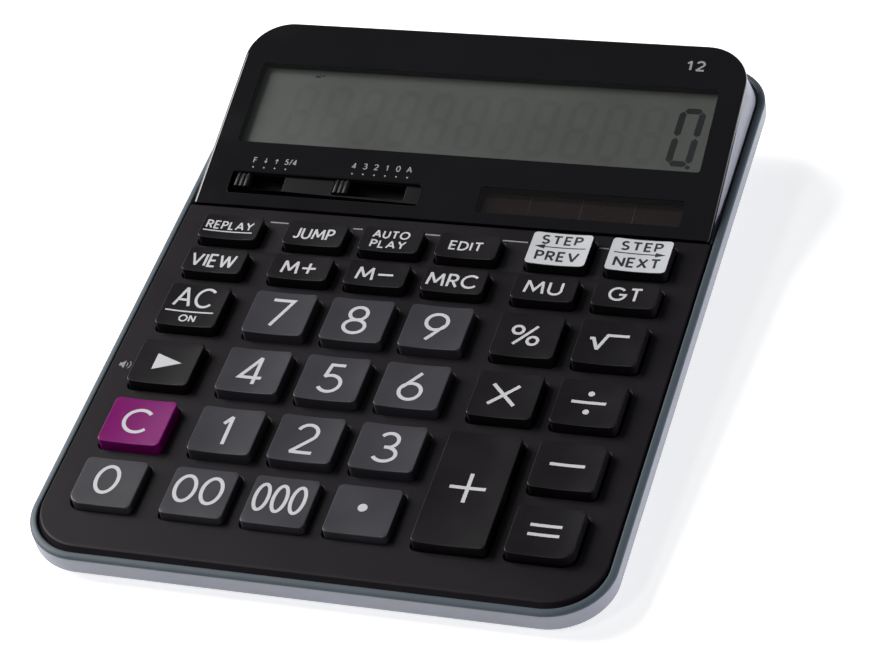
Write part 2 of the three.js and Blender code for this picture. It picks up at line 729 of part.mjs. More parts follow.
function buildInside() {
  const { mat, board, silverPaint, steel, brass } = MATERIALS;
  add(body, "keypad_mat", keypadMat(), mat);
  add(body, "main_board", mainBoard(), board);

  const doorX = BATTERY_DOOR.x;
  const cellTop = COIN_CELL.bottom + COIN_CELL.height;
  const cellY = COIN_CELL.y;
  const cellBottom = COIN_CELL.bottom;
  const radius = COIN_CELL.diameter / 2;
  const cell = turned(doorX, cellY, [
    [0, cellBottom],
    [radius - 0.9, cellBottom],
    [radius - 0.9, cellBottom + 0.4],
    [radius, cellBottom + 0.6],
    [radius, cellTop - 0.2],
    [radius - 0.3, cellTop],
    [0, cellTop],
  ]);
  add(underside, "coin_cell", cell, steel);

  const sheet = 0.3;
  const footTop = POD_WALL + 2 * GAP;
  const side = doorX + radius + GAP;
  const positive = join(
    slab(side, side + sheet, cellY - 3, cellY + 3, footTop - sheet, cellTop - 1),
    slab(side, -3, cellY - 3, cellY + 3, footTop - sheet, footTop),
  );
  add(underside, "battery_contact_positive", positive, steel);
  const far = doorX - radius - 5;
  const negative = join(
    slab(far, doorX + 3, cellY - 2.5, cellY + 2.5, cellTop + GAP, cellTop + GAP + sheet),
    slab(far, far + sheet, cellY - 2.5, cellY + 2.5, footTop - sheet, cellTop + GAP + sheet),
    slab(far - 9, far + sheet, cellY - 2.5, cellY + 2.5, footTop - sheet, footTop),
  );
  add(underside, "battery_contact_negative", negative, steel);
  add(underside, "battery_cover", batteryDoor(), silverPaint);
  add(underside, "battery_cover_screw", doorScrew(), steel);

  const buzzer = turned(BUZZER.x, 0, [
    [0, footTop - 0.2],
    [BUZZER.radius, footTop - 0.2],
    [BUZZER.radius, footTop + 0.1],
    [BUZZER.innerRadius, footTop + 0.1],
    [BUZZER.innerRadius, footTop + 0.4],
    [0, footTop + 0.4],
  ]);
  add(underside, "buzzer_disc", buzzer, brass);
}

// ---------------------------------------------------------------- the assembly

buildCase();
buildKeys();
buildHead();
buildInside();

// The origin is on the desk, under the middle of the calculator.
calculator.updateMatrixWorld(true);
const bounds = new THREE.Box3().setFromObject(calculator, true);
const middle = bounds.getCenter(new THREE.Vector3());
body.position.set(-middle.x, -middle.y, -bounds.min.z);

export default calculator;
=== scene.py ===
"""Desk calculator: the detailed visual model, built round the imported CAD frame.

Shapes are drawn in millimetres, nearly all in one of three frames, and placed in metres:
BODY lies on the key plate (x right, y from the front edge to the back, z = 0 on the plate's top),
HEAD lies on the tilted window (x right, y up the slope, z square to it), and
UNDERSIDE lies on the rear pod's underside, parallel to the desk. Each foot is drawn where it stands.
"""
import json
import math

import bmesh
import bpy
from mathutils import Matrix, Vector
from mathutils.geometry import delaunay_2d_cdt, tessellate_polygon


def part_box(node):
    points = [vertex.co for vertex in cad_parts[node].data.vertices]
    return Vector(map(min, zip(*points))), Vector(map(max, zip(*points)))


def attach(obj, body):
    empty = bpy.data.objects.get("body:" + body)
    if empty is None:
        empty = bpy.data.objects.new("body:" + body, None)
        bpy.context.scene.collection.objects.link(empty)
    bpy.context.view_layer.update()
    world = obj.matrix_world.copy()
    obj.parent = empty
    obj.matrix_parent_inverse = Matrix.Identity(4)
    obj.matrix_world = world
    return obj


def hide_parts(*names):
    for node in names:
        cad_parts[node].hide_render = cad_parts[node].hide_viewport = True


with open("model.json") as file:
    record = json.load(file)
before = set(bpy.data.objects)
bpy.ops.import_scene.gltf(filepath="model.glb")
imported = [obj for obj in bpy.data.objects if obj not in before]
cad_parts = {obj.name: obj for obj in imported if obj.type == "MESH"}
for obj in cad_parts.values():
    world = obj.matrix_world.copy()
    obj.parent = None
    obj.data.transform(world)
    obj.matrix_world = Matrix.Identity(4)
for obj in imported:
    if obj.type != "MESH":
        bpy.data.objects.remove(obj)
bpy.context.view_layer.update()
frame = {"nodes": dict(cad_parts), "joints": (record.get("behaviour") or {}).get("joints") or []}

MM = 0.001
NODES = frame["nodes"]

# ---------------- sizes, in millimetres

WIDTH = 140.0
DEPTH = 184.3
CORNER_RADIUS = 15.0
RIM_WIDTH = 1.8
RIM_SEAM = -1.15  # where the grey rim meets the silver wall
LEDGE_TOP = -2.3
TRAY_WALL = 3.6
FLOOR_TOP = -6.5
FLOOR_BOTTOM = -8.0
FLOOR_INSET = 3.0
WALL_BOTTOM = -5.8
FOOT_HEIGHT = 1.2
FRONT_FOOT_Y = 10.0
FOOT_RADIUS = 4.5
CASE_SCREW = (63.2, 22.0)
SCREW_WELL_RADIUS = 2.5

PLATE_INSET = 2.4
PLATE_FRONT = 3.4
PLATE_BACK = 117.4
PLATE_THICKNESS = 1.8
PLATE_LIP = 0.42  # how far the plate's side bulges past its outline
HOLE_EDGE = 0.22
SHELF_THICKNESS = 0.3
SHELF_REACH = 2.4  # how far its back goes past the plate, clear of the last row of keys

KEY_HEIGHT = 2.8
LOW_KEY_HEIGHT = 2.0
KEY_WALL = 1.2
KEY_CORNER = 1.3
OUTER_KEY_CORNER = 3.2
# How far a finished cap reaches past its plain CAD key: left, right, front and back.
CAP_REACH = (0.6, 0.25, 0.0, 0.5)
LOW_CAP_REACH = (0.8, -0.1, -0.55, 1.2)
SILVER_CAP_REACH = (0.3, 0.1, 0.0, 0.4)
KEY_FILLET = 0.22
KEY_DRAFT = 0.1
KEY_CLEARANCE = 0.4
FLANGE_WIDTH = 0.8
FLANGE_TOP = -2.05
FLANGE_BOTTOM = -2.65
DISH = 0.38
FLAT_DISH = 0.08

HEAD_FRONT = 117.8
HEAD_STEP = 0.5
HEAD_TILT = math.radians(11.6)
HEAD_WIDTH = 134.4
HEAD_LENGTH = 59.7
HEAD_CORNER = 11.5
WINDOW_THICKNESS = 2.0
WINDOW_EDGE = 0.9
RISER_WALL = 1.5
RECESS = (-59.5, -7.9, 3.7, 10.8)
RECESS_FLOOR = -0.8
LCD_OPENING = (-61.0, 61.0, 20.1, 45.9)
LCD_TOP = -2.4
SOLAR_OPENING = (7.3, 59.3, 3.5, 11.3)
SWITCH_STEP = 2.95

# Left, right, front and back of the pod at the tray and at its underside, in BODY.
POD_TOP = (-56, 56, 90, 176)
POD_BASE = (-50, 50, 104, 171)
POD_CENTRE = 150.0
POD_WALL = 1.6
POD_CORNER = 9.0
# The rest lies on the pod's underside, in UNDERSIDE.
REAR_FOOT = (40, 14)
FOOT_SEAT_RADIUS = 5.1
FOOT_SEAT_DEPTH = 0.35
DOOR_GAP = 0.3
LABEL = (-16, 34, -28, -12)
LABEL_DEPTH = 0.25
VENT_LEFT = 17
VENT_RIGHT = 33
VENT_WIDTH = 1.4
VENT_PITCH = 3
VENTS = 5

# ---------------- frames


def extent(node, matrix):
    """Lowest and highest corner of a CAD node, measured along a frame's own axes."""
    inverse = matrix.inverted()
    points = [inverse @ vertex.co for vertex in NODES[node].data.vertices]
    low = Vector([min(point[axis] for point in points) for axis in range(3)])
    high = Vector([max(point[axis] for point in points) for axis in range(3)])
    return low, high


def body_frame():
    """The key plate's frame: its tilt comes from a key's press axis and its place from the plate."""
    press = Vector(next(j["axis"] for j in frame["joints"] if j["name"].startswith("press_key")))
    tilt = math.atan2(press.y, -press.z)
    level = Matrix.Rotation(tilt, 4, "X") @ Matrix.Scale(MM, 4)
    low, high = extent("top_case", level)
    return tilt, level @ Matrix.Translation((0, low.y - PLATE_FRONT, high.z))


BODY_TILT, BODY = body_frame()
HEAD = BODY @ Matrix.Translation((0, HEAD_FRONT, HEAD_STEP)) @ Matrix.Rotation(HEAD_TILT, 4, "X")


def pod_height(y):
    """Height of the rear pod's underside, which lies level, a foot's height above the desk."""
    desk = FLOOR_BOTTOM - FOOT_HEIGHT - (y - FRONT_FOOT_Y) * math.tan(BODY_TILT)
    return desk + FOOT_HEIGHT / math.cos(BODY_TILT)


POD_MIDDLE = Matrix.Translation((0, POD_CENTRE, pod_height(POD_CENTRE)))
UNDERSIDE = BODY @ POD_MIDDLE @ Matrix.Rotation(-BODY_TILT, 4, "X")

# ---------------- outlines and solids


def arc(x, y, radius_x, radius_y, start, stop, steps=None):
    """Points on an ellipse's arc between two angles in degrees, about one every 12."""
    steps = steps or max(2, round(abs(stop - start) / 12))
    angles = [math.radians(start + (stop - start) * step / steps) for step in range(steps + 1)]
    return [(x + radius_x * math.cos(a), y + radius_y * math.sin(a)) for a in angles]


def corner_steps(radius):
    """Steps in a quarter turn: the larger the corner, the more."""
    return next(steps for limit, steps in ((1, 4), (3, 7), (8, 12), (math.inf, 22)) if radius < limit)


class Rectangle:
    """A rounded rectangle. Radii go front right, back right, back left, front left."""

    def __init__(self, left, right, front, back, radii, spacing=None, front_share=1.0):
        self.left, self.right, self.front, self.back = left, right, front, back
        self.front_share = front_share
        self.radii = [radii] * 4 if isinstance(radii, (int, float)) else radii
        self.steps = [corner_steps(radius) for radius in self.radii]
        self.spacing = spacing

    def grown(self, by):
        """The rectangle moved out on all sides, with straight sides in one piece."""
        radii = [max(radius + by, 0.05) for radius in self.radii]
        return Rectangle(self.left - by, self.right + by, self.front - by, self.back + by, radii)

    def points(self, inset=0.0):
        """The outline, anticlockwise, inset by a distance that its corners share."""
        right, left, front, back = self.right, self.left, self.front, self.back
        corners = [(right, front), (right, back), (left, back), (left, front)]
        points = []
        for corner, (x, y) in enumerate(corners):
            radius = max(self.radii[corner] - inset, 0.02)
            reach = inset + radius
            centre_x = x - reach if x == right else x + reach
            centre_y = y - reach if y == back else y + inset * self.front_share + radius
            start = (corner - 1) * 90
            points += arc(centre_x, centre_y, radius, radius, start, start + 90, self.steps[corner])
        return self.split_sides(points) if self.spacing else points

    def split_sides(self, points):
        """Adds points along the four straight sides, so that the outline can follow a curved top."""
        split = []
        ends = [sum(self.steps[: corner + 1]) + corner for corner in range(4)]
        lengths = [self.back - self.front, self.right - self.left] * 2
        for index, point in enumerate(points):
            split.append(point)
            if index in ends:
                after = points[(index + 1) % len(points)]
                count = max(1, round(lengths[ends.index(index)] / self.spacing))
                for step in range(1, count):
                    split.append(tuple(a + (b - a) * step / count for a, b in zip(point, after)))
        return split


def ring(shape, inset, height):
    """A rectangle's outline in space. The height is a number or a function of x and y."""
    return [(x, y, height(x, y) if callable(height) else height) for x, y in shape.points(inset)]


def loft(rings, looped=False):
    """Points and faces of a closed skin over rings: flat ends, or the last ring joined to the first."""
    size = len(rings[0])
    points = [point for each in rings for point in each]
    faces = []
    for band in range(len(rings) if looped else len(rings) - 1):
        low, high = band * size, (band + 1) % len(rings) * size
        for i in range(size):
            after = (i + 1) % size
            faces.append((low + i, low + after, high + after, high + i))
    if not looped:
        last = len(points) - size
        faces.append(tuple(range(size))[::-1])
        faces.append(tuple(last + i for i in range(size)))
    return points, faces


def centred(half, front, back, front_radius, back_radius, front_share=1.0):
    """A rounded rectangle with its middle on the calculator's middle line."""
    radii = [front_radius, back_radius, back_radius, front_radius]
    return Rectangle(-half, half, front, back, radii, front_share=front_share)


def fillet(inset, top, radius, steps=5):
    """The profile of a rounded upper edge, from the wall at an inset to a flat top."""
    return arc(inset + radius, top - radius, -radius, radius, 0, 90, steps)


def lofted(shape, profile, looped=False):
    """The skin that a profile of (inset, height) points makes round a rectangle."""
    return loft([ring(shape, inset, height) for inset, height in profile], looped)


def prism(shape, low, high):
    """A prism over a rectangle, from one height to another."""
    return lofted(shape, [(0, low), (0, high)])


def turned(x, y, profile, sides=40):
    """A turned piece, upright, from (radius, height) points that don't reach its axis."""
    rings = [[(px, py, z) for px, py in arc(x, y, r, r, 0, 360, sides)[:-1]] for r, z in profile]
    return loft(rings)


def holed_plate(outer, outer_profile, holes, hole_profile):
    """A plate with rounded edges and openings. Each profile runs from the underside to the top."""
    points, faces, ends = [], [], {"bottom": [], "top": []}
    for shape, profile in [(outer, outer_profile)] + [(hole, hole_profile) for hole in holes]:
        rings = [ring(shape, inset, height) for inset, height in profile]
        skin, sides = loft(rings)
        start, size = len(points), len(rings[0])
        points += skin
        faces += [tuple(start + i for i in face) for face in sides[:-2]]
        ends["bottom"].append(range(start, start + size))
        ends["top"].append(range(len(points) - size, len(points)))
    for loops in ends.values():
        index = [i for loop in loops for i in loop]
        polygons = [[Vector(points[i]) for i in loop] for loop in loops]
        faces += [tuple(index[i] for i in triangle) for triangle in tessellate_polygon(polygons)]
    return points, faces


def together(*parts):
    """Several closed skins as one mesh."""
    points, faces = [], []
    for skin, sides in parts:
        start = len(points)
        points += skin
        faces += [tuple(start + i for i in face) for face in sides]
    return points, faces


# ---------------- pieces


def new_object(name, skin, matrix):
    points, faces = skin
    mesh = bpy.data.meshes.new(name)
    mesh.from_pydata([matrix @ Vector(point) for point in points], [], faces)
    mesh.validate()
    made = bpy.data.objects.new(name, mesh)
    bpy.context.scene.collection.objects.link(made)
    bpy.context.view_layer.objects.active = made
    make_normals_consistent(mesh)
    return made


def make_normals_consistent(mesh):
    work = bmesh.new()
    work.from_mesh(mesh)
    bmesh.ops.recalc_face_normals(work, faces=work.faces)
    work.to_mesh(mesh)
    work.free()


def carve(target, cutters):
    """Cuts solids out of a piece and keeps the result as its mesh."""
    for cutter in cutters:
        cut = target.modifiers.new("cut", "BOOLEAN")
        cut.object = cutter
        cut.solver = "EXACT"
    graph = bpy.context.evaluated_depsgraph_get()
    carved = bpy.data.meshes.new_from_object(target.evaluated_get(graph))
    target.modifiers.clear()
    target.data = carved
    for cutter in cutters:
        bpy.data.objects.remove(cutter)


def soften(made, angle=38, bevel=0.0):
    """Smooth shading with sharp edges past an angle, and a small bevel on those edges if asked."""
    mesh = made.data
    if bevel:
        edge = made.modifiers.new("bevel", "BEVEL")
        edge.width = bevel * MM
        edge.segments = 2
        edge.limit_method = "ANGLE"
        edge.angle_limit = math.radians(angle)
    mesh.polygons.foreach_set("use_smooth", [True] * len(mesh.polygons))
    mesh.set_sharp_from_angle(angle=math.radians(angle))
    weighted = made.modifiers.new("normals", "WEIGHTED_NORMAL")
    weighted.keep_sharp = True
    weighted.weight = 100


def piece(
    name, skin, matrix, material, body="case", replaces=(), angle=38, bevel=0.0, cutters=()
):
    """Adds one visible piece of the calculator to a CAD body."""
    made = new_object(name, skin, matrix)
    if cutters:
        carve(made, [new_object(f"cutter_{i}", cutter, matrix) for i, cutter in enumerate(cutters)])
    made.data.materials.clear()
    made.data.materials.append(material)
    soften(made, angle, bevel)
    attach(made, body)
    if replaces:
        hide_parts(*replaces)
    return made


# ---------------- materials


def add_node(tree, kind, **inputs):
    node = tree.nodes.new(kind)
    for name, value in inputs.items():
        node.inputs[name.replace("_", " ")].default_value = value
    return node


def noise(tree, size, detail=2.0):
    """Noise with features of about that many millimetres, fixed to the piece."""
    where = add_node(tree, "ShaderNodeTexCoord")
    texture = add_node(tree, "ShaderNodeTexNoise", Scale=1 / (size * MM), Detail=detail)
    tree.links.new(where.outputs["Object"], texture.inputs["Vector"])
    return texture.outputs["Fac"]


def spread(tree, source, low, high):
    """Noise stretched to run from low to high."""
    node = add_node(tree, "ShaderNodeMapRange", From_Min=0.3, From_Max=0.7, To_Min=low, To_Max=high)
    tree.links.new(source, node.inputs["Value"])
    return node.outputs["Result"]


def srgb(red, green, blue):
    """A colour given as 0 to 255, as a linear one."""
    channels = [channel / 255 for channel in (red, green, blue)]
    return [c / 12.92 if c <= 0.04045 else ((c + 0.055) / 1.055) ** 2.4 for c in channels]


def finish(
    name, colour, roughness, mottle, mottle_size, grain, grain_depth,
    metallic=0.0, specular=0.5, coat=0.0, smudge=0.06,
):
    """A moulded or painted surface: a mottled colour, uneven gloss and a fine grain."""
    made = bpy.data.materials.new(name)
    made.use_nodes = True
    tree = made.node_tree
    shader = tree.nodes["Principled BSDF"]
    constants = {
        "Metallic": metallic,
        "Specular IOR Level": specular,
        "Coat Weight": coat,
        "Coat Roughness": 0.08,
    }
    for socket, value in constants.items():
        shader.inputs[socket].default_value = value

    mix = add_node(tree, "ShaderNodeMix")
    mix.data_type = "RGBA"
    for socket, factor in ((6, 1 - mottle), (7, 1 + mottle)):
        mix.inputs[socket].default_value = (*[min(1.0, channel * factor) for channel in colour], 1)
    tree.links.new(spread(tree, noise(tree, mottle_size, 3), 0, 1), mix.inputs[0])
    tree.links.new(mix.outputs[2], shader.inputs["Base Color"])

    uneven = spread(tree, noise(tree, 14, 4), roughness - smudge, roughness + smudge)
    tree.links.new(uneven, shader.inputs["Roughness"])

    bump = add_node(tree, "ShaderNodeBump", Strength=1.0, Distance=grain_depth * MM)
    tree.links.new(noise(tree, grain, 2), bump.inputs["Height"])
    tree.links.new(bump.outputs["Normal"], shader.inputs["Normal"])
    return made


def clear_lens(name):
    """Clear acrylic: what lies under it shows through, with a mirror gloss on top."""
    made = bpy.data.materials.new(name)
    made.use_nodes = True
    tree = made.node_tree
    tree.nodes.remove(tree.nodes["Principled BSDF"])
    through = add_node(tree, "ShaderNodeBsdfTransparent")
    gloss = add_node(tree, "ShaderNodeBsdfAnisotropic", Roughness=0.05)
    mix = add_node(tree, "ShaderNodeMixShader", Fac=0.03)
    tree.links.new(through.outputs[0], mix.inputs[1])
    tree.links.new(gloss.outputs[0], mix.inputs[2])
    tree.links.new(mix.outputs[0], tree.nodes["Material Output"].inputs["Surface"])
    return made


# Each finish: its name, colour, roughness, how far the colour varies and over how many millimetres,
# and the size and depth of its grain in millimetres.
SILVER = finish("silver_paint", (0.205, 0.214, 0.256), 0.42, 0.03, 12, 0.08, 0.004, metallic=0.15)
RIM_GREY = finish("rim_grey", srgb(68, 77, 85), 0.5, 0.05, 12, 0.08, 0.003, specular=0.3)
PLATE = finish("plate_black", srgb(20, 16, 20), 0.48, 0.15, 16, 0.16, 0.008, specular=0.14)
BAND = finish("plate_band", srgb(29, 26, 29), 0.45, 0.1, 16, 0.16, 0.004, specular=0.16)
WINDOW = finish("window_black", srgb(10, 8, 11), 0.1, 0.1, 20, 0.5, 0.001, specular=0.5, smudge=0.03)
MASK = finish("mask_black", srgb(12, 11, 13), 0.7, 0.1, 6, 0.5, 0.001, specular=0.1)
LENS = clear_lens("window_clear")
RECESS_GREY = finish("recess_grey", srgb(12, 10, 12), 0.38, 0.08, 6, 0.12, 0.003, specular=0.12)
BLACK_KEY = finish("key_black", srgb(18, 15, 18), 0.34, 0.15, 5, 0.14, 0.005, specular=0.25)
GREY_KEY = finish("key_grey", srgb(51, 50, 55), 0.34, 0.05, 5, 0.14, 0.005, specular=0.35)
MAGENTA_KEY = finish("key_magenta", (0.155, 0.001, 0.105), 0.34, 0.06, 5, 0.14, 0.005, specular=0.25)
SILVER_PRINT = finish("key_silver", srgb(184, 186, 189), 0.4, 0.03, 5, 0.14, 0.004)
WHITE_INK = finish("white_ink", srgb(184, 183, 187), 0.5, 0.03, 3, 0.08, 0.002)
BLACK_INK = finish("black_ink", srgb(20, 20, 23), 0.5, 0.06, 3, 0.08, 0.002)
GREY_INK = finish("grey_ink", srgb(134, 132, 135), 0.45, 0.05, 3, 0.08, 0.002)
LCD_GLASS = finish("lcd_glass", srgb(65, 68, 65), 0.35, 0.03, 2.5, 0.3, 0.001, specular=0.3)
LCD_GHOST = finish("lcd_ghost", srgb(61, 64, 62), 0.35, 0.03, 2.5, 0.3, 0.001, specular=0.3)
LCD_SEGMENT = finish("lcd_segment", srgb(10, 11, 14), 0.35, 0.06, 2.5, 0.3, 0.001, specular=0.3)
SOLAR = finish("solar_glass", srgb(24, 16, 15), 0.15, 0.15, 8, 0.3, 0.0003, specular=0.3)
SOLAR_LINE = finish("solar_line", srgb(31, 24, 23), 0.3, 0.1, 3, 0.1, 0.001)
RUBBER = finish("rubber_grey", srgb(44, 45, 47), 0.85, 0.15, 3, 0.25, 0.02, specular=0.3)
MAT_RUBBER = finish("mat_rubber", srgb(143, 147, 150), 0.75, 0.08, 4, 0.2, 0.01, specular=0.3)
BOARD_GREEN = finish("board_green", srgb(47, 93, 58), 0.45, 0.12, 3, 0.3, 0.01, coat=0.3)
FLEX = finish("flex_film", srgb(185, 138, 74), 0.35, 0.1, 4, 0.3, 0.004)
STEEL = finish("steel", srgb(183, 185, 187), 0.28, 0.05, 2, 0.06, 0.003, metallic=1.0)
BRASS = finish("brass", srgb(201, 161, 74), 0.3, 0.08, 2, 0.06, 0.003, metallic=1.0)

# ---------------- lettering


def flipped(lines, width):
    """Strokes turned half round, as a 9 is a turned 6."""
    return [[(width - x, 1 - y) for x, y in line] for line in lines]


THREE = [[*arc(0.28, 0.75, 0.24, 0.25, 150, -90), (0.2, 0.5)], arc(0.27, 0.25, 0.3, 0.25, 90, -152)]
SIX = [[(0.44, 1), (0.05, 0.43)], arc(0.285, 0.3, 0.285, 0.3, 0, 360)]
P_BOWL = [(0, 1), (0.27, 1), *arc(0.27, 0.745, 0.25, 0.255, 90, -90)[1:-1], (0.27, 0.49), (0, 0.49)]
D_BOWL = [(0, 1), (0.26, 1), *arc(0.26, 0.5, 0.48, 0.5, 90, -90)[1:-1], (0.26, 0), (0, 0)]

# Centre lines of the strokes in a box one unit high, with each sign's width.
SIGNS = {
    "0": (0.57, [arc(0.285, 0.5, 0.285, 0.5, 0, 360)]),
    "1": (0.4, [[(0, 0.74), (0.27, 1), (0.27, 0)]]),
    "2": (0.58, [[*arc(0.28, 0.715, 0.265, 0.285, 163, -38), (0, 0), (0.58, 0)]]),
    "3": (0.58, THREE),
    "4": (0.62, [[(0.43, 0), (0.43, 1), (0, 0.24), (0.62, 0.24)]]),
    "5": (0.58, [[(0.54, 1), (0.17, 1), *arc(0.275, 0.305, 0.3, 0.305, 127, -150)]]),
    "6": (0.57, SIX),
    "7": (0.6, [[(0, 1), (0.6, 1), (0.17, 0)]]),
    "8": (0.57, [arc(0.285, 0.755, 0.235, 0.245, 0, 360), arc(0.285, 0.255, 0.285, 0.255, 0, 360)]),
    "9": (0.57, flipped(SIX, 0.57)),
    "A": (0.8, [[(0, 0), (0.4, 1), (0.8, 0)], [(0.14, 0.33), (0.66, 0.33)]]),
    "C": (0.88, [arc(0.5, 0.5, 0.5, 0.5, 42, 318)]),
    "D": (0.74, [[(0, 0), *D_BOWL]]),
    "E": (0.5, [[(0.5, 1), (0, 1), (0, 0), (0.5, 0)], [(0, 0.51), (0.44, 0.51)]]),
    "F": (0.48, [[(0.48, 1), (0, 1), (0, 0)], [(0, 0.51), (0.42, 0.51)]]),
    "G": (1.0, [[*arc(0.5, 0.5, 0.5, 0.5, 42, 356), (0.6, 0.46)]]),
    "I": (0.0, [[(0, 0), (0, 1)]]),
    "J": (0.36, [[(0.36, 1), *arc(0.16, 0.24, 0.2, 0.24, 0, -150)]]),
    "L": (0.46, [[(0, 1), (0, 0), (0.46, 0)]]),
    "M": (0.94, [[(0, 0), (0.1, 1), (0.47, 0.22), (0.84, 1), (0.94, 0)]]),
    "N": (0.7, [[(0, 0), (0, 1), (0.7, 0), (0.7, 1)]]),
    "O": (1.0, [arc(0.5, 0.5, 0.5, 0.5, 0, 360)]),
    "P": (0.52, [[(0, 0), *P_BOWL]]),
    "R": (0.56, [[(0, 0), *P_BOWL], [(0.25, 0.49), (0.56, 0)]]),
    "S": (0.54, [arc(0.28, 0.745, 0.24, 0.255, 38, 262) + arc(0.27, 0.245, 0.27, 0.245, 82, -145)]),
    "T": (0.68, [[(0, 1), (0.68, 1)], [(0.34, 1), (0.34, 0)]]),
    "U": (0.66, [[(0, 1), *arc(0.33, 0.33, 0.33, 0.33, 180, 360), (0.66, 1)]]),
    "V": (0.76, [[(0, 1), (0.38, 0), (0.76, 1)]]),
    "W": (1.12, [[(0, 1), (0.28, 0), (0.56, 0.94), (0.84, 0), (1.12, 1)]]),
    "X": (0.66, [[(0, 0), (0.66, 1)], [(0, 1), (0.66, 0)]]),
    "Y": (0.7, [[(0, 1), (0.35, 0.48), (0.7, 1)], [(0.35, 0.48), (0.35, 0)]]),
    "+": (0.88, [[(0, 0.5), (0.88, 0.5)], [(0.44, 0.06), (0.44, 0.94)]]),
    "-": (0.92, [[(0, 0.5), (0.92, 0.5)]]),
    "/": (0.4, [[(0, -0.06), (0.4, 1.06)]]),
}
LETTER_GAP = 0.13
SHARP_TURN = math.radians(22)  # from here a stroke is mitred; below it, it bends smoothly
BLUNT_TURN = math.radians(125)  # past this a mitre would be a long spike, so it is cut flat
STROKE_STEP = 1.2  # longest piece of a stroke, so that it follows a dished key


def subdivided(points):
    """A stroke's points, with more along its long straight parts."""
    fine = [points[0]]
    for start, stop in zip(points, points[1:]):
        pieces = max(1, math.ceil(math.dist(start, stop) / STROKE_STEP))
        for step in range(1, pieces + 1):
            share = step / pieces
            fine.append((start[0] + (stop[0] - start[0]) * share, start[1] + (stop[1] - start[1]) * share))
    return fine


def side_vectors(points, closed):
    """For each segment of a stroke, the unit vector to its left."""
    count = len(points) if closed else len(points) - 1
    sides = []
    for i in range(count):
        start, stop = points[i], points[(i + 1) % len(points)]
        length = math.dist(start, stop)
        sides.append((-(stop[1] - start[1]) / length, (stop[0] - start[0]) / length))
    return sides


def both_edges(point, side, reach):
    """The points on a stroke's left and right edge, at a distance from its centre line."""
    (x, y), (side_x, side_y) = point, side
    return (x + side_x * reach, y + side_y * reach), (x - side_x * reach, y - side_y * reach)


def pen_stroke(points, pen):
    """A stroke of even width as simple polygons, which may overlap."""
    closed = math.dist(points[0], points[-1]) < 1e-6
    points = subdivided(points)
    if closed:
        points = points[:-1]
    sides = side_vectors(points, closed)
    half = pen / 2
    edges = []  # for each point, its (left, right) edge points before it and after it
    polygons = []
    for i, point in enumerate(points):
        before = sides[i - 1] if closed or i > 0 else sides[0]
        after = sides[i] if i < len(sides) else sides[-1]
        mean = Vector((before[0] + after[0], before[1] + after[1])).normalized()
        turn = math.acos(max(-1, min(1, before[0] * after[0] + before[1] * after[1])))
        mitre = half / max(0.2, math.cos(turn / 2))
        if turn < SHARP_TURN:
            bend = both_edges(point, mean, mitre)
            edges.append((bend, bend))
            continue
        arriving, leaving = (both_edges(point, side, half) for side in (before, after))
        edges.append((arriving, leaving))
        outer = 1 if before[0] * after[1] > before[1] * after[0] else 0  # the right edge in a left turn
        tip = [both_edges(point, mean, mitre)[outer]] if turn < BLUNT_TURN else []
        polygons.append([point, arriving[outer], *tip, leaving[outer]])
    for i in range(len(sides)):
        (left_start, right_start), (left_stop, right_stop) = edges[i][1], edges[(i + 1) % len(points)][0]
        polygons.append([left_start, right_start, right_stop, left_stop])
    return polygons


def strokes(lines, pen):
    """The polygons of several strokes with one pen."""
    return [polygon for line in lines for polygon in pen_stroke(line, pen)]


def disc(x, y, radius, sides=28):
    return [arc(x, y, radius, radius, 0, 360, sides)[:-1]]


def text(word, x, y, height, pen, width):
    """Polygons for a word centred at a point, with its outer height and width."""
    unit = height - pen
    gap = LETTER_GAP + pen / unit
    natural = sum(SIGNS[sign][0] for sign in word) + gap * (len(word) - 1)
    stretch = (width - pen) / (natural * unit)
    polygons = []
    start = x - (width - pen) / 2
    for sign in word:
        advance, lines = SIGNS[sign]
        for line in lines:
            placed = [(start + px * unit * stretch, y + (py - 0.5) * unit) for px, py in line]
            polygons += pen_stroke(placed, pen)
        start += (advance + gap) * unit * stretch
    return polygons


def ink_skin(polygons, height, thickness):
    """Overlapping polygons as one thin closed layer on a surface of a given height."""
    points, faces = [], []
    for polygon in polygons:
        area = sum(a[0] * b[1] - b[0] * a[1] for a, b in zip(polygon, polygon[1:] + polygon[:1]))
        corners = polygon if area > 0 else polygon[::-1]
        faces.append(list(range(len(points), len(points) + len(corners))))
        points += [Vector(corner) for corner in corners]
    flat, _, triangles, _, _, sources = delaunay_2d_cdt(points, [], faces, 1, 1e-5)
    kept = [list(triangle) for triangle, source in zip(triangles, sources) if source]
    uses = {}
    for triangle in kept:
        for a, b in zip(triangle, triangle[1:] + triangle[:1]):
            uses.setdefault(frozenset((a, b)), []).append((a, b))
    count = len(flat)
    level = [height(x, y) if callable(height) else height for x, y in flat]
    skin = [(x, y, z + lift) for lift in (thickness, -thickness) for (x, y), z in zip(flat, level)]
    sides = kept + [[i + count for i in triangle[::-1]] for triangle in kept]
    outline = [edge[0] for edge in uses.values() if len(edge) == 1]
    sides += [(b, a, a + count, b + count) for a, b in outline]
    used = sorted({i for face in sides for i in face})
    place = {old: new for new, old in enumerate(used)}
    return [skin[i] for i in used], [tuple(place[i] for i in face) for face in sides]


def printed(name, polygons, height, thickness, matrix, ink, body="case"):
    """Adds a print as a thin piece of its own, on a surface of a given height."""
    piece(name, ink_skin(polygons, height, thickness), matrix, ink, body, angle=60)


def bar(x, y, width, pen):
    return pen_stroke([(x - width / 2, y), (x + width / 2, y)], pen)


def oval(x, y, width, height, pen):
    """A closed oval stroke, by its outer width and height."""
    return pen_stroke(arc(x, y, (width - pen) / 2, (height - pen) / 2, 0, 360), pen)


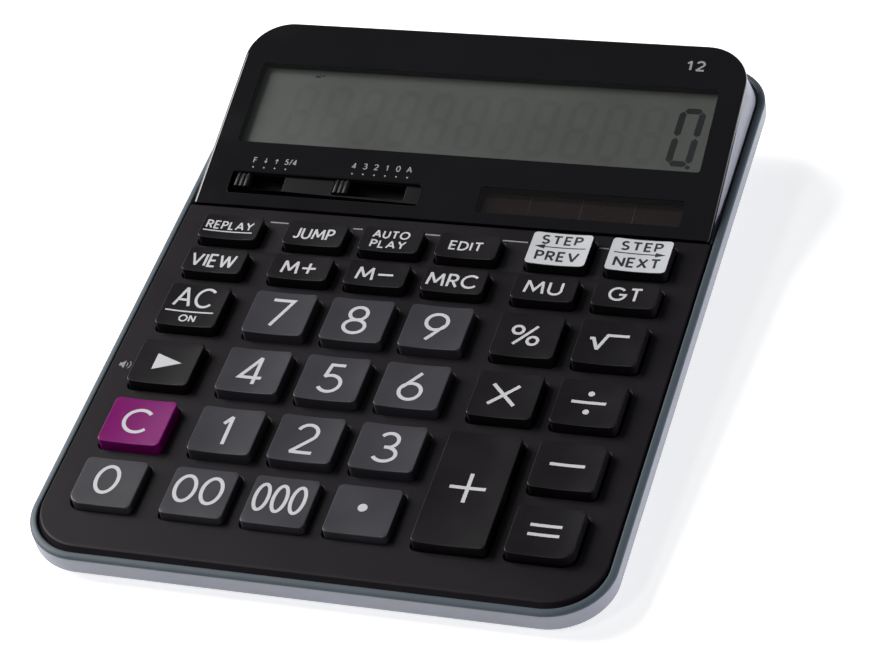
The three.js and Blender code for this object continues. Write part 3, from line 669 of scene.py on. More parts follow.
DIGIT_HEIGHT = 9.5
DIGIT_PEN = 0.92
DIGIT_WIDTH = 6.2
ODD_DIGIT_WIDTHS = {"1": 3.3, "4": 6.5}
ARROW_LENGTH = 2.6
ARROW_HALF = 0.75


def digit(sign):
    return text(sign, -0.2, 0.05, DIGIT_HEIGHT, DIGIT_PEN, ODD_DIGIT_WIDTHS.get(sign, DIGIT_WIDTH))


def arrow(left, right, y, points_left):
    """A thin line across a key with a small arrow head at one end."""
    tip, tail = (left, right) if points_left else (right, left)
    back = tip + math.copysign(ARROW_LENGTH, tail - tip)
    head = [(tip, y), (back, y + ARROW_HALF), (back, y - ARROW_HALF)]
    return pen_stroke([(back, y), (tail, y)], 0.32) + [head]


# The polygons of each key's legend, about the middle of the key. A plain digit has no entry.
LEGENDS = {
    "0": oval(-0.6, 0.75, 6.2, 8.9, DIGIT_PEN),
    "00": oval(-3.65, 0.7, 5.7, 8.6, DIGIT_PEN) + oval(2.9, 0.7, 5.7, 8.6, DIGIT_PEN),
    "000": [shape for x in (-4.7, -0.3, 4.1) for shape in oval(x, 0.7, 4.0, 8.6, 0.88)],
    "point": disc(-0.3, 0.8, 1.15),
    "equals": bar(-0.2, 1.6, 7.3, 0.85) + bar(-0.2, -1.1, 7.3, 0.85),
    "clear": text("C", -0.3, 0.1, 7.9, DIGIT_PEN, 7.0),
    "minus": bar(-0.1, 0.2, 8.2, 0.88),
    "plus": bar(0, 0.25, 8.5, 0.92) + pen_stroke([(0, 4.6), (0, -4.1)], 0.92),
    "delete": [[(-2.9, 2.7), (-2.9, -2.6), (4.0, 0.1)]],
    "multiply": strokes([[(-3.6, 3.2), (2.7, -3.1)], [(2.7, 3.2), (-3.6, -3.1)]], 0.9),
    "divide": bar(-0.1, 0.15, 8.2, 0.86) + disc(-0.1, 2.95, 0.78) + disc(-0.1, -2.75, 0.78),
    "all_clear": text("AC", -0.5, 2.75, 6.9, 0.74, 10.2) + bar(-0.3, -2.2, 12.6, 0.45)
    + text("ON", -0.1, -4.45, 2.4, 0.42, 4.4),
    "percent": oval(-2.6, 1.6, 3.3, 3.3, 0.76) + oval(1.6, -1.6, 3.3, 3.3, 0.76)
    + pen_stroke([(-2.9, -3.1), (1.9, 3.2)], 0.76),
    "root": pen_stroke([(-4.9, 0.9), (-4.0, 1.0), (-2.6, -2.4), (-0.8, 2.4), (4.3, 2.4)], 0.84),
    "view": text("VIEW", -0.4, -0.1, 4.7, 0.64, 12.0),
    "memory_plus": text("M+", -0.2, -0.1, 4.7, 0.66, 9.2),
    "memory_minus": text("M-", -0.3, -0.1, 4.7, 0.66, 9.8),
    "memory_recall": text("MRC", -0.5, -0.1, 4.7, 0.66, 12.8),
    "mark_up": text("MU", -0.3, 0.1, 4.6, 0.66, 9.6),
    "grand_total": text("GT", -0.1, 0.1, 4.6, 0.66, 8.2),
    "replay": text("REPLAY", -0.4, 0.55, 3.0, 0.46, 12.6) + bar(-0.4, -1.65, 13.2, 0.36),
    "jump": text("JUMP", -0.3, -0.05, 4.0, 0.55, 10.6),
    "auto_play": text("AUTO", -0.4, 1.85, 2.8, 0.46, 9.6) + text("PLAY", -0.4, -1.6, 2.8, 0.46, 9.2),
    "edit": text("EDIT", -0.5, 0.0, 3.2, 0.5, 8.6),
    "step_back": text("STEP", 0, 3.1, 3.2, 0.58, 10.4) + arrow(-6.4, 6.4, 0.6, True)
    + text("PREV", 0, -2.5, 3.5, 0.62, 11.0),
    "step_forward": text("STEP", 0, 3.1, 3.2, 0.58, 10.4) + arrow(-6.4, 6.4, 0.6, False)
    + text("NEXT", 0, -2.5, 3.5, 0.62, 11.6),
}

# ---------------- keys

LOW_KEYS = ("0", "00", "000", "point")
SILVER_KEYS = ("step_back", "step_forward")
KEY_NAMES = [name.removeprefix("key_") for name in NODES if name.startswith("key_")]


def cap_reach(name):
    if name in LOW_KEYS:
        return LOW_CAP_REACH
    return SILVER_CAP_REACH if name in SILVER_KEYS else CAP_REACH


def key_shape(name):
    """The outline of a key at the plate, from its CAD node without the flange."""
    low, high = extent(f"key_{name}", BODY)
    radii = [KEY_CORNER] * 4
    if name == "equals":
        radii[0] = OUTER_KEY_CORNER
    if name == "0":
        radii[3] = OUTER_KEY_CORNER
    left, right, front, back = cap_reach(name)
    low += Vector((FLANGE_WIDTH - left, FLANGE_WIDTH - front, 0))
    high -= Vector((FLANGE_WIDTH - right, FLANGE_WIDTH - back, 0))
    return Rectangle(low.x, high.x, low.y, high.y, radii, spacing=1.4)


def key_height(name):
    return LOW_KEY_HEIGHT if name in LOW_KEYS else KEY_HEIGHT


def key_finish(name):
    """A key's material, its material slot and the ink of its sign."""
    if name.isdigit() or name == "point":
        return GREY_KEY, "grey_key", WHITE_INK
    if name == "clear":
        return MAGENTA_KEY, "magenta_key", WHITE_INK
    if name in SILVER_KEYS:
        return BLACK_KEY, "silver_key", BLACK_INK
    return BLACK_KEY, "black_key", WHITE_INK


def key_surface(name, shape):
    """The height of a key's dished top, as a function of x and y."""
    top = key_height(name)
    depth = FLAT_DISH if name in LOW_KEYS else DISH
    middle, half = (shape.left + shape.right) / 2, (shape.right - shape.left) / 2
    return lambda x, y: top - depth * (1 - min(1, abs(x - middle) / half) ** 2)


def axis_steps(outline, axis, step):
    """Evenly spaced places between an outline's two ends along an axis, without the ends."""
    along = [point[axis] for point in outline]
    low, length = min(along), max(along) - min(along)
    count = max(2, round(length / step))
    return [low + length * i / count for i in range(1, count)]


def filled_top(points, faces, top_ring, height, step):
    """Fills a key's top with small triangles that follow its dish."""
    outline = [Vector(point[:2]) for point in top_ring]
    columns, rows = (axis_steps(top_ring, axis, step) for axis in (0, 1))
    grid = [Vector((x, y)) for x in columns for y in rows]
    inside = [place for place in grid if min((place - edge).length for edge in outline) > step * 0.45]
    size = len(outline)
    face = [list(range(size))]
    flat, _, triangles, sources, _, kept = delaunay_2d_cdt(outline + inside, [], face, 1, 1e-5)
    first = len(points) - size
    index = []
    for place, source in zip(flat, sources):
        on_outline = source and source[0] < size
        index.append(first + source[0] if on_outline else len(points))
        if not on_outline:
            points.append((place.x, place.y, height(place.x, place.y)))
    faces += [tuple(index[i] for i in triangle) for triangle, source in zip(triangles, kept) if source]


def key_cap(name, shape):
    """A hollow cap: a flange under the plate, drafted sides, a rounded edge and a dished top."""
    surface = key_surface(name, shape)
    top = key_height(name)
    ceiling = top - KEY_WALL
    rings = [
        ring(shape, KEY_WALL, ceiling - 0.5),
        ring(shape, KEY_WALL, FLANGE_BOTTOM),
        ring(shape, -FLANGE_WIDTH, FLANGE_BOTTOM),
        ring(shape, -FLANGE_WIDTH, FLANGE_TOP),
        ring(shape, -0.15, FLANGE_TOP),
        ring(shape, 0, FLANGE_TOP + 0.15),
    ]
    for inset, height in fillet(KEY_DRAFT, top, KEY_FILLET):
        rings.append(ring(shape, inset, lambda x, y, drop=top - height: surface(x, y) - drop))
    points, faces = loft(rings)
    faces.pop()
    filled_top(points, faces, rings[-1], surface, 1.5)
    return points, faces


def silver_top(shape, count=10):
    """The silver print that covers a key's top, in upright strips that follow its dish."""
    rest = shape.points(KEY_DRAFT + KEY_FILLET * 0.6)
    left, right = min(rest)[0], max(rest)[0]
    strips = []
    for cut in range(1, count):
        limit = left + (right - left) * cut / count
        strips.append(clip(rest, limit, -1))
        rest = clip(rest, limit, 1)
    return [*strips, rest]


def clip(outline, limit, side):
    """The part of a convex outline to the right (side 1) or left (side -1) of a limit."""
    part = []
    for (x0, y0), (x1, y1) in zip(outline, outline[1:] + outline[:1]):
        inside0, inside1 = (x0 - limit) * side >= 0, (x1 - limit) * side >= 0
        if inside0:
            part.append((x0, y0))
        if inside0 != inside1:
            share = (limit - x0) / (x1 - x0)
            part.append((limit, y0 + (y1 - y0) * share))
    return part


def build_keys():
    for name in KEY_NAMES:
        shape = key_shape(name)
        surface = key_surface(name, shape)
        material, slot, ink = key_finish(name)
        body = f"key_{name}"
        piece(f"cap_{name}", key_cap(name, shape), BODY, material, body, [body], angle=50)
        if name in SILVER_KEYS:
            silver = silver_top(shape)
            printed(f"print_{name}", silver, surface, 0.015, BODY, SILVER_PRINT, body)
        middle_x, middle_y = (shape.left + shape.right) / 2, (shape.front + shape.back) / 2
        legend = LEGENDS.get(name) or digit(name)
        placed = [[(x + middle_x, y + middle_y) for x, y in polygon] for polygon in legend]
        printed(f"sign_{name}", placed, surface, 0.03, BODY, ink, body)


# ---------------- case


def build_tray():
    """The silver tray with its grey rounded rim."""
    tray = centred(WIDTH / 2, 0, DEPTH, CORNER_RADIUS, CORNER_RADIUS)
    step = 0.95  # how far the rim reaches into the wall
    rim_profile = [(step, LEDGE_TOP), (RIM_WIDTH, LEDGE_TOP)]
    rim_profile += [(RIM_WIDTH, -0.75), *arc(RIM_WIDTH - 0.35, -0.75, 0.35, 0.4, 0, 90, 4)]
    rim_profile += arc(RIM_WIDTH - 0.45, RIM_SEAM, 0.45 - RIM_WIDTH, 0.8, 90, 0, 8)
    rim_profile += [(0.04, RIM_SEAM - 0.06), (step, RIM_SEAM - 0.08)]
    piece("tray_rim", lofted(tray, rim_profile, looped=True), BODY, RIM_GREY)

    inside = [(TRAY_WALL, FLOOR_TOP), (TRAY_WALL, LEDGE_TOP), (step, LEDGE_TOP), (step, RIM_SEAM - 0.1)]
    seam = [(0.04, RIM_SEAM - 0.08), (0, RIM_SEAM - 0.14)]
    lower_edge = [(0, WALL_BOTTOM + 0.9), (0.12, WALL_BOTTOM + 0.35), (0.42, WALL_BOTTOM - 0.1)]
    floor_edge = [(-0.5, 0.25), (-0.1, 0.05), (0.5, 0)]
    floor = [(FLOOR_INSET + inset, FLOOR_BOTTOM + height) for inset, height in floor_edge]
    shell = lofted(tray, inside + seam + lower_edge + floor)
    wells = mirrored_bores(*CASE_SCREW, SCREW_WELL_RADIUS, FLOOR_BOTTOM - 1, FLOOR_BOTTOM + 1.1)
    piece("tray_shell", shell, BODY, SILVER, replaces=["bottom_case"], cutters=wells)


def mirrored_bores(x, y, radius, low, high):
    """Cutters for a round hole and its mirror image."""
    return [turned(side * x, y, [(radius, low), (radius, high)]) for side in (-1, 1)]


def underside_cutters(label):
    """The battery opening, the vents, the seats of the rear feet and the label's, in UNDERSIDE."""
    low, high = extent("battery_cover", UNDERSIDE)
    cutters = [prism(Rectangle(low.x, high.x, low.y, high.y, 0.3).grown(DOOR_GAP), -1, 3)]
    for vent in range(VENTS):
        y = (vent - (VENTS - 1) / 2) * VENT_PITCH
        opening = Rectangle(VENT_LEFT, VENT_RIGHT, y - VENT_WIDTH / 2, y + VENT_WIDTH / 2, 0.68)
        cutters.append(prism(opening, -1, 3))
    cutters += mirrored_bores(*REAR_FOOT, FOOT_SEAT_RADIUS, -1, FOOT_SEAT_DEPTH)
    return cutters + [prism(label, -1, LABEL_DEPTH)]


def build_pod():
    """The hollow pod under the back of the tray, and the blank label on it."""
    upper = Rectangle(*POD_TOP, POD_CORNER)
    lower = Rectangle(*POD_BASE, POD_CORNER)
    top = FLOOR_BOTTOM + 0.3

    def base_ring(inset, lift):
        return ring(lower, inset, lambda x, y: pod_height(y) + lift)

    rings = [base_ring(POD_WALL, POD_WALL), ring(upper, POD_WALL, top), ring(upper, 0, top)]
    rings += [base_ring(inset, lift) for inset, lift in ((-0.45, 1), (-0.05, 0.35), (0.3, 0.08), (0.9, 0))]
    label = Rectangle(*LABEL, 1.2)
    to_body = BODY.inverted() @ UNDERSIDE
    cutters = [([to_body @ Vector(p) for p in points], faces) for points, faces in underside_cutters(label)]
    piece("rear_pod", loft(rings), BODY, SILVER, cutters=cutters)
    blank = lofted(label, [(0.3, LABEL_DEPTH + 0.1), (0.3, 0.1), (0.4, 0.05)])
    piece("blank_label", blank, UNDERSIDE, SILVER_PRINT)


def build_feet():
    feet = [f"foot_{end}_{hand}" for hand in ("left", "right") for end in ("front", "rear")]
    for node in feet:
        low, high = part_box(node)
        middle = (low + high) / 2
        level = Matrix.Translation((middle.x, middle.y, 0)) @ Matrix.Scale(MM, 4)
        top = high.z / MM
        profile = [(0.02, 0.14), (2.9, 0.14), (3.2, 0), (4.0, 0), (4.35, 0.12)]
        profile += [(FOOT_RADIUS, 0.42), (FOOT_RADIUS, top), (0.02, top)]
        piece(node + "_pad", turned(0, 0, profile), level, RUBBER, replaces=[node])


def key_openings(clearance):
    """The outlines of all keys, moved out by a clearance."""
    return [key_shape(name).grown(clearance) for name in KEY_NAMES]


def opening_profile(bottom, top, radius):
    """The side of an opening, from its underside to a rounded edge at the top."""
    return [(0, bottom), *[(-inset, height) for inset, height in fillet(0, top, radius, 3)]]


def frame_profile(width, bottom, top):
    """A flat rim of some width inside an outline, for a looped skin."""
    return [(width, bottom), (width, top), (0, top), (0, bottom)]


def build_plate():
    """The plate that the keys come through."""
    shape = centred(WIDTH / 2 - PLATE_INSET, PLATE_FRONT, PLATE_BACK, CORNER_RADIUS - PLATE_INSET, 0.5, 2.6)
    side = [(-0.2, -PLATE_THICKNESS), (-PLATE_LIP, -1.6), (-PLATE_LIP, -1.15), (-0.3, -0.8)]
    side += fillet(-0.12, 0, 0.3)
    openings = key_openings(KEY_CLEARANCE)
    skin = holed_plate(shape, side, openings, opening_profile(-PLATE_THICKNESS, 0, HOLE_EDGE))
    piece("key_plate", skin, BODY, PLATE, replaces=["top_case"])


def build_shelf():
    """A shelf under the plate, which closes the gap between it and the rim."""
    inset = RIM_WIDTH + 0.1
    well = centred(WIDTH / 2 - inset, inset + 0.1, PLATE_BACK + SHELF_REACH, CORNER_RADIUS - inset, 0.5)
    profile = frame_profile(3.4, LEDGE_TOP + 0.02, LEDGE_TOP + SHELF_THICKNESS)
    piece("plate_shelf", lofted(well, profile, looped=True), BODY, PLATE)


# Places of the prints on the plate, in BODY.
BAND_PLACE = (-45, 43.7, 102.4, 112.9)
DASH_Y = 113.1
DASHES = [(-44.4, -39.6), (-22.3, -19.8), (-3.4, 0.5), (16.5, 23.1), (41.1, 43.6)]
SOUND_SIGN = (-65.6, 60.2)


def printed_band(band, holes):
    """A thin print on the plate, in columns between the openings of the keys that cross it."""
    edges = {side for shape in (band, *holes) for side in (shape.left, shape.right)}
    edges = sorted(x for x in edges if band.left <= x <= band.right)
    parts = []
    for left, right in zip(edges, edges[1:]):
        middle = (left + right) / 2
        blocked = [hole for hole in holes if hole.left < middle < hole.right]
        back = min([band.back] + [hole.front for hole in blocked])
        spans = [(band.front, back)]
        spans += [(hole.back, band.back) for hole in blocked if hole.back < band.back]
        for front, stop in spans:
            if stop - front > 0.1:
                parts.append(prism(Rectangle(left, right, front, stop, 0.02), -0.02, 0.006))
    return together(*parts)


def build_prints_on_plate():
    """The printed marks on the key plate: a band, short dashes between the top keys and a sound sign."""
    band = Rectangle(*BAND_PLACE, 0.3)
    near = [hole for hole in key_openings(KEY_CLEARANCE + 0.3) if hole.back > band.front]
    inside = [hole for hole in near if hole.right > band.left and hole.left < band.right]
    piece("plate_band", printed_band(band, inside), BODY, BAND, angle=60)
    dashes = strokes([[(left, DASH_Y), (right, DASH_Y)] for left, right in DASHES], 0.42)
    printed("plate_dashes", dashes, 0, 0.012, BODY, GREY_INK)
    x, y = SOUND_SIGN
    box = [(x, y - 0.5), (x + 0.6, y - 0.5), (x + 0.6, y + 0.5), (x, y + 0.5)]
    horn = [(x + 0.6, y - 0.5), (x + 1.4, y - 1.3), (x + 1.4, y + 1.3), (x + 0.6, y + 0.5)]
    waves = strokes([arc(x + 1.2, y, radius, radius, -42, 42) for radius in (0.9, 1.7)], 0.22)
    printed("sound_sign", [box, horn, *waves], 0, 0.012, BODY, GREY_INK)


def head_height(y, depth):
    """Height in BODY of a place at some depth under the window."""
    return HEAD_STEP + (y - HEAD_FRONT) * math.tan(HEAD_TILT) - depth / math.cos(HEAD_TILT)


def build_riser():
    """The silver riser between the tray and the window."""
    front = HEAD_FRONT + 1.2
    foot_inset = RIM_WIDTH + 0.4
    foot_height = LEDGE_TOP + SHELF_THICKNESS
    foot = centred(WIDTH / 2 - foot_inset, front, DEPTH - foot_inset, 1.5, CORNER_RADIUS - foot_inset)
    top_back = HEAD_FRONT + HEAD_LENGTH * math.cos(HEAD_TILT)
    top = centred(HEAD_WIDTH / 2 - 0.3, front, top_back, 1.5, HEAD_CORNER)

    def under_window(x, y):
        return head_height(y, WINDOW_THICKNESS + 0.3)

    def between(share, bulge):
        low, high = ring(foot, -bulge, foot_height), ring(top, -bulge, under_window)
        return [tuple(a + (b - a) * share for a, b in zip(p, q)) for p, q in zip(low, high)]

    rings = [between(share, 0.18 * math.sin(math.pi * share)) for share in (0, 0.25, 0.5, 0.75, 0.97)]
    rings += [ring(top, inset, under_window) for inset in (0.25, RISER_WALL)]
    rings.append(ring(foot, RISER_WALL, foot_height))
    piece("riser", loft(rings, looped=True), BODY, SILVER, replaces=["head_frame"])


# ---------------- display head


def build_window():
    """The black-printed window with its clear areas, and the cut-out for the slide switches."""
    face = centred(HEAD_WIDTH / 2, 0, HEAD_LENGTH, 0.6, HEAD_CORNER, 0.2)
    recess = Rectangle(*RECESS, 1.2)
    panes = {"display": Rectangle(*LCD_OPENING, 0.8), "solar": Rectangle(*SOLAR_OPENING, 0.5)}
    side = [(0.25, -WINDOW_THICKNESS), (0, 0.25 - WINDOW_THICKNESS), *fillet(0, 0, WINDOW_EDGE, 6)]
    skin = holed_plate(face, side, [*panes.values(), recess], [(0, -WINDOW_THICKNESS), (0, 0)])
    piece("window_frame", skin, HEAD, WINDOW, replaces=["display_window"])
    for name, opening in panes.items():
        profile = frame_profile(0.1, -WINDOW_THICKNESS - 0.01, -0.3)
        wall = lofted(opening.grown(0.02), profile, looped=True)
        piece(f"{name}_mask", wall, HEAD, MASK)
        pane = lofted(opening, [(0.01, -0.25), (0.01, 0.0)])
        lens = piece(f"{name}_lens", pane, HEAD, LENS)
        lens.visible_shadow = False
    lip = [(-0.02, RECESS_FLOOR), (-0.02, -0.06), (0.1, 0.0), (0.26, -0.14), (0.34, RECESS_FLOOR)]
    rim = lofted(recess, lip, looped=True)
    piece("recess_rim", rim, HEAD, RECESS_GREY)


SWITCHES = {"rounding": 4, "decimal": 6}  # how many positions each has
SHOE_REACH = 1.0  # how far a knob's shoe reaches past its finger block
KNOB_GAP = 0.3
SHOE_THICKNESS = 0.8
PANEL_BOTTOM = -3.3
RIDGES = 3
RIDGE_FOOT = 0.5  # depth of a ridge's foot under the knob's top


def switch_slot(switch, positions):
    """The slot that a knob slides in, from the knob's place and its number of positions."""
    low, high = extent(f"{switch}_switch_knob", HEAD)
    right = high.x + (positions - 1) * SWITCH_STEP
    return Rectangle(low.x, right, low.y, high.y, 1.2).grown(KNOB_GAP - SHOE_REACH)


def build_switches():
    """The panel in the recess with its slots, the knobs, and a black film under them: painted shade that
    keeps the slots dark, standing also for a dust shield.
    """
    left, right, front, back = RECESS
    base = Rectangle(left, right, front, back, 1.25).grown(-0.35)
    slots = [switch_slot(switch, positions) for switch, positions in SWITCHES.items()]
    side = [(0, PANEL_BOTTOM), *fillet(0, RECESS_FLOOR, 0.15, 3)]
    skin = holed_plate(base, side, slots, opening_profile(PANEL_BOTTOM, RECESS_FLOOR, 0.2))
    piece("switch_panel", skin, HEAD, RECESS_GREY, replaces=["switch_bezel"])
    for switch in SWITCHES:
        build_knob(f"{switch}_switch")
    # Painted shade: a black sheet under the slots, so that they read dark instead of showing the board.
    film = prism(Rectangle(left - 1, right + 1, front - 0.5, back + 2.4, 0.5), -4.6, -4.5)
    piece("slot_shade_film", film, HEAD, MASK)


def build_knob(body):
    """A finger block with ridges across its top, on the shoe that runs under the panel."""
    node = f"{body}_knob"
    low, high = extent(node, HEAD)
    left, right = low.x + SHOE_REACH, high.x - SHOE_REACH
    front, back = low.y + SHOE_REACH, high.y - SHOE_REACH
    foot, shoe_top = high.z - RIDGE_FOOT, low.z + SHOE_THICKNESS
    pitch = (right - left) / RIDGES
    profile = [(left, shoe_top - 0.3), (left, foot)]
    for ridge in range(RIDGES):
        start = left + ridge * pitch
        crest = foot + 0.22 + 0.12 * abs(ridge - (RIDGES - 1) / 2)
        for share, height in ((0.12, foot), (0.3, crest), (0.7, crest), (0.88, foot)):
            profile.append((start + pitch * share, height))
    profile += [(right, foot), (right, shoe_top - 0.3)]
    block = loft([[(x, y, z) for x, z in profile] for y in (front, back)])
    shoe = prism(Rectangle(low.x, high.x, low.y, high.y, 0.5), low.z, shoe_top)
    piece(f"{body}_block", together(block, shoe), HEAD, BLACK_KEY, body, [node], bevel=0.08)


LAST_DIGIT = (51.9, 23.9)  # the lower left corner of the digit at the right end, in HEAD
LCD_DIGIT_WIDTH = 5.0  # between the corners, where the segments' centre lines meet
LCD_DIGIT_HEIGHT = 16.4
SEGMENT_PEN = 1.75
SEGMENT_GAP = 0.22
DIGIT_SLANT = 0.055
DIGIT_PITCH = 9.3
DIGITS = 12
# The ends of each segment, as (column, row) of a digit's six corners. The middle one comes last.
UPRIGHT_SEGMENTS = [((column, row), (column, row + 1)) for column in (0, 1) for row in (0, 1)]
SEGMENT_ENDS = UPRIGHT_SEGMENTS + [((0, row), (1, row)) for row in (0, 2, 1)]


def segment(start, stop):
    """One display segment: a bar with pointed ends, which stops short of both corners."""
    (x0, y0), (x1, y1) = start, stop
    length = math.dist(start, stop)
    along_x, along_y = (x1 - x0) / length, (y1 - y0) / length
    half = SEGMENT_PEN / 2

    def at(distance, across):
        return x0 + along_x * distance - along_y * across, y0 + along_y * distance + along_x * across

    tip, shoulder = SEGMENT_GAP, SEGMENT_GAP + half * 0.9
    low_side = [at(shoulder, -half), at(length - shoulder, -half)]
    high_side = [at(length - shoulder, half), at(shoulder, half)]
    return [at(tip, 0), *low_side, at(length - tip, 0), *high_side]


def segments(place, ends):
    """Some of the segments of a slanted digit. Places count from the right end."""
    left, front = LAST_DIGIT[0] - place * DIGIT_PITCH, LAST_DIGIT[1]

    def corner(column, row):
        rise = row / 2 * LCD_DIGIT_HEIGHT
        return left + column * LCD_DIGIT_WIDTH + rise * DIGIT_SLANT, front + rise

    return [segment(corner(*start), corner(*stop)) for start, stop in ends]


def build_display():
    """The display behind its polarizer, showing 0 with the other digits unlit."""
    left, right, front, back = LCD_OPENING
    glass = Rectangle(left - 1.4, right + 1.4, front - 1.2, back + 1.4, 0.4)
    top = LCD_TOP + 0.2
    polarizer = lofted(glass, [(0, LCD_TOP + 0.005), (0, top - 0.04), (0.08, top)])
    piece("display_polarizer", polarizer, HEAD, LCD_GLASS)
    zero = segments(0, SEGMENT_ENDS[:-1])
    point = disc(LAST_DIGIT[0] + LCD_DIGIT_WIDTH + 0.1, LAST_DIGIT[1] - 0.9, 0.62)
    printed("display_zero", zero + point, top, 0.008, HEAD, LCD_SEGMENT)
    ghosts = [shape for place in range(1, DIGITS) for shape in segments(place, SEGMENT_ENDS)]
    printed("display_ghosts", ghosts, top, 0.006, HEAD, LCD_GHOST)
    mark = bar(-45.9, 43.9, 1.5, 0.8) + bar(-44.5, 44.2, 0.9, 0.4)
    printed("display_mark", mark, top, 0.007, HEAD, LCD_SEGMENT)


def build_solar_lines():
    """The lines between the four fields of the solar strip."""
    low, high = extent("solar_cell", HEAD)
    xs = [low.x + (high.x - low.x) * share for share in (0.25, 0.5, 0.75)]
    lines = strokes([[(x, low.y + 0.3), (x, high.y - 0.3)] for x in xs], 0.18)
    printed("solar_lines", lines, high.z, 0.01, HEAD, SOLAR_LINE)


ROUNDING_FIRST = -54.3  # the first position of each switch, along the window
DECIMAL_FIRST = -27.4
DECIMAL_SIGN_WIDTHS = {"A": 1.5, "1": 0.6}


def switch_dots(first, count, y):
    """A row of dots, one over each position of a switch."""
    return [shape for place in range(count) for shape in disc(first + place * SWITCH_STEP, y, 0.24, 12)]


def small_arrow(x, y, way):
    """An arrow up (way 1) or down (way -1)."""
    shaft = pen_stroke([(x, y - 0.75 * way), (x, y + 0.3 * way)], 0.24)
    return shaft + [[(x - 0.5, y + 0.15 * way), (x + 0.5, y + 0.15 * way), (x, y + 0.8 * way)]]


def build_prints_on_head():
    """Switch positions and their signs, and the number of digits."""
    prints = switch_dots(ROUNDING_FIRST, SWITCHES["rounding"], 12.15)
    prints += switch_dots(DECIMAL_FIRST, SWITCHES["decimal"], 12.3)
    prints += text("F", ROUNDING_FIRST, 14.4, 1.8, 0.26, 0.99)
    prints += small_arrow(ROUNDING_FIRST + SWITCH_STEP, 14.4, -1)
    prints += small_arrow(ROUNDING_FIRST + 2 * SWITCH_STEP, 14.4, 1)
    prints += text("5/4", ROUNDING_FIRST + 3 * SWITCH_STEP + 0.9, 14.4, 1.8, 0.26, 3.34)
    for place, sign in enumerate("43210A"):
        width = DECIMAL_SIGN_WIDTHS.get(sign, 1.2)
        prints += text(sign, DECIMAL_FIRST + place * SWITCH_STEP, 14.8, 1.85, 0.27, width)
    prints += text("12", 53.6, 52.9, 3.3, 0.55, 5.0)
    printed("head_prints", prints, 0, 0.012, HEAD, GREY_INK)


# ---------------- carried-over CAD nodes


def dress_cad_nodes():
    """Materials, and small bevels where they show, for the CAD pieces that stay."""
    screws = ["battery_cover_screw", "case_screw_left", "case_screw_right"]
    nodes_of = {
        LCD_GLASS: ["lcd_module"],
        FLEX: ["lcd_flex"],
        SOLAR: ["solar_cell"],
        BOARD_GREEN: ["display_board", "main_board"],
        MAT_RUBBER: ["keypad_mat"],
        STEEL: ["coin_cell", "battery_contact_positive", "battery_contact_negative", *screws],
        SILVER: ["battery_cover"],
        BRASS: ["buzzer_disc"],
    }
    for material, names in nodes_of.items():
        for name in names:
            materials = NODES[name].data.materials
            materials.clear()
            materials.append(material)
    for name in ["battery_cover", *screws]:
        edge = NODES[name].modifiers.new("bevel", "BEVEL")
        edge.width = 0.12 * MM
        edge.segments = 2
        edge.angle_limit = math.radians(40)


def build_cover_grip():
    """The ribs on the battery cover."""
    low, high = extent("battery_cover", UNDERSIDE)
    middle = (low.x + high.x) / 2
    ribs = []
    for row in range(5):
        y = high.y - 2.6 - row * 1.5
        half = 5 - row * 0.5
        rib = Rectangle(middle - half, middle + half, y - 0.3, y + 0.3, 0.28)
        ribs.append(lofted(rib, [(0, 0.05), (0, -0.12), (0.12, -0.22)]))
    piece("cover_ribs", together(*ribs), UNDERSIDE, SILVER)


# ---------------- floor, lights and camera

# The camera, solved from the photo's outline and keys: metres, degrees and millimetres of lens.
CAMERA_POSITION = (0.21951, -0.49216, 0.44269)
CAMERA_AZIMUTH = -23.6362
CAMERA_DROP = 39.0374
CAMERA_ROLL = -10.3118
CAMERA_LENS = 117.6576
SENSOR_WIDTH = 36.0


def add_camera():
    """The photo's view: the camera looks along its azimuth, down by its drop, and is rolled."""
    azimuth, drop, roll = (math.radians(a) for a in (CAMERA_AZIMUTH, CAMERA_DROP, CAMERA_ROLL))
    level = math.cos(drop)
    forward = Vector((math.sin(azimuth) * level, math.cos(azimuth) * level, -math.sin(drop)))
    level_right = forward.cross(Vector((0, 0, 1))).normalized()
    level_up = level_right.cross(forward)
    right = level_right * math.cos(roll) + level_up * math.sin(roll)
    up = right.cross(forward)
    data = bpy.data.cameras.new("camera")
    data.lens = CAMERA_LENS
    data.sensor_width = SENSOR_WIDTH
    data.clip_start = 0.01
    data.clip_end = 50
    camera = bpy.data.objects.new("camera", data)
    rotation = Matrix((right, up, -forward)).transposed().to_4x4()
    camera.matrix_world = Matrix.Translation(CAMERA_POSITION) @ rotation
    bpy.context.scene.collection.objects.link(camera)
    bpy.context.scene.camera = camera


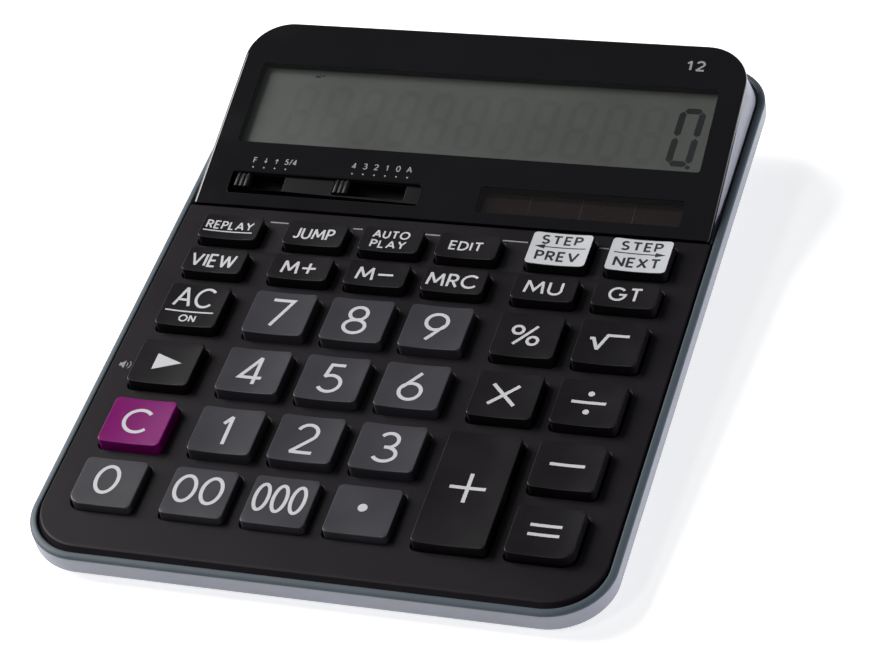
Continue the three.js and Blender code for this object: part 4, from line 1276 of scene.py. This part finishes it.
def add_light(name, position, target, size, power, colour, glossy=True):
    """A rectangular light, turned to a target. Some aren't seen in glossy reflections."""
    data = bpy.data.lights.new(name, "AREA")
    data.shape = "RECTANGLE"
    data.size, data.size_y = size
    data.energy = power
    data.color = colour
    light = bpy.data.objects.new(name, data)
    light.location = position
    light.rotation_mode = "QUATERNION"
    light.rotation_quaternion = (Vector(target) - Vector(position)).to_track_quat("-Z", "Y")
    light.visible_camera = False
    light.visible_glossy = glossy
    bpy.context.scene.collection.objects.link(light)


def add_floor():
    """A pale floor, a little bright of itself so that it stays even."""
    half = 3.0
    corners = [(-half, -half, 0), (half, -half, 0), (half, half, 0), (-half, half, 0)]
    floor = new_object("floor", (corners, [(0, 1, 2, 3)]), Matrix.Identity(4))
    white = finish("floor_white", (0.8, 0.8, 0.81), 0.6, 0.01, 60, 2, 0.002, specular=0.2)
    shader = white.node_tree.nodes["Principled BSDF"]
    shader.inputs["Emission Color"].default_value = (1, 1, 1, 1)
    shader.inputs["Emission Strength"].default_value = 0.65
    floor.data.materials.append(white)


def add_studio():
    """A dim sky, a large key light, a small one for the front edges and a low one from the side."""
    world = bpy.data.worlds.new("studio")
    world.use_nodes = True
    background = world.node_tree.nodes["Background"]
    background.inputs["Color"].default_value = (0.93, 0.96, 1.0, 1)
    background.inputs["Strength"].default_value = 0.15
    bpy.context.scene.world = world
    middle = (0, 0, 0.02)
    add_light("key_light", (-1.9, 0.3, 1.5), middle, (1.6, 1.6), 104, (1.0, 0.99, 0.98))
    add_light("edge_light", (-0.75, -1.45, 1.65), middle, (0.3, 0.3), 6, (1.0, 1.0, 1.0))
    low = (0, 0, 0.01)
    add_light("side_light", (1.3, 0.35, 0.07), low, (1.6, 0.1), 20, (0.98, 0.99, 1.0), glossy=False)
    bpy.context.scene.view_settings.view_transform = "Standard"


# ---------------- the scene

add_camera()
add_floor()
add_studio()
build_tray()
build_pod()
build_feet()
build_plate()
build_shelf()
build_prints_on_plate()
build_riser()
build_window()
build_switches()
build_display()
build_solar_lines()
build_prints_on_head()
build_keys()
dress_cad_nodes()
build_cover_grip()
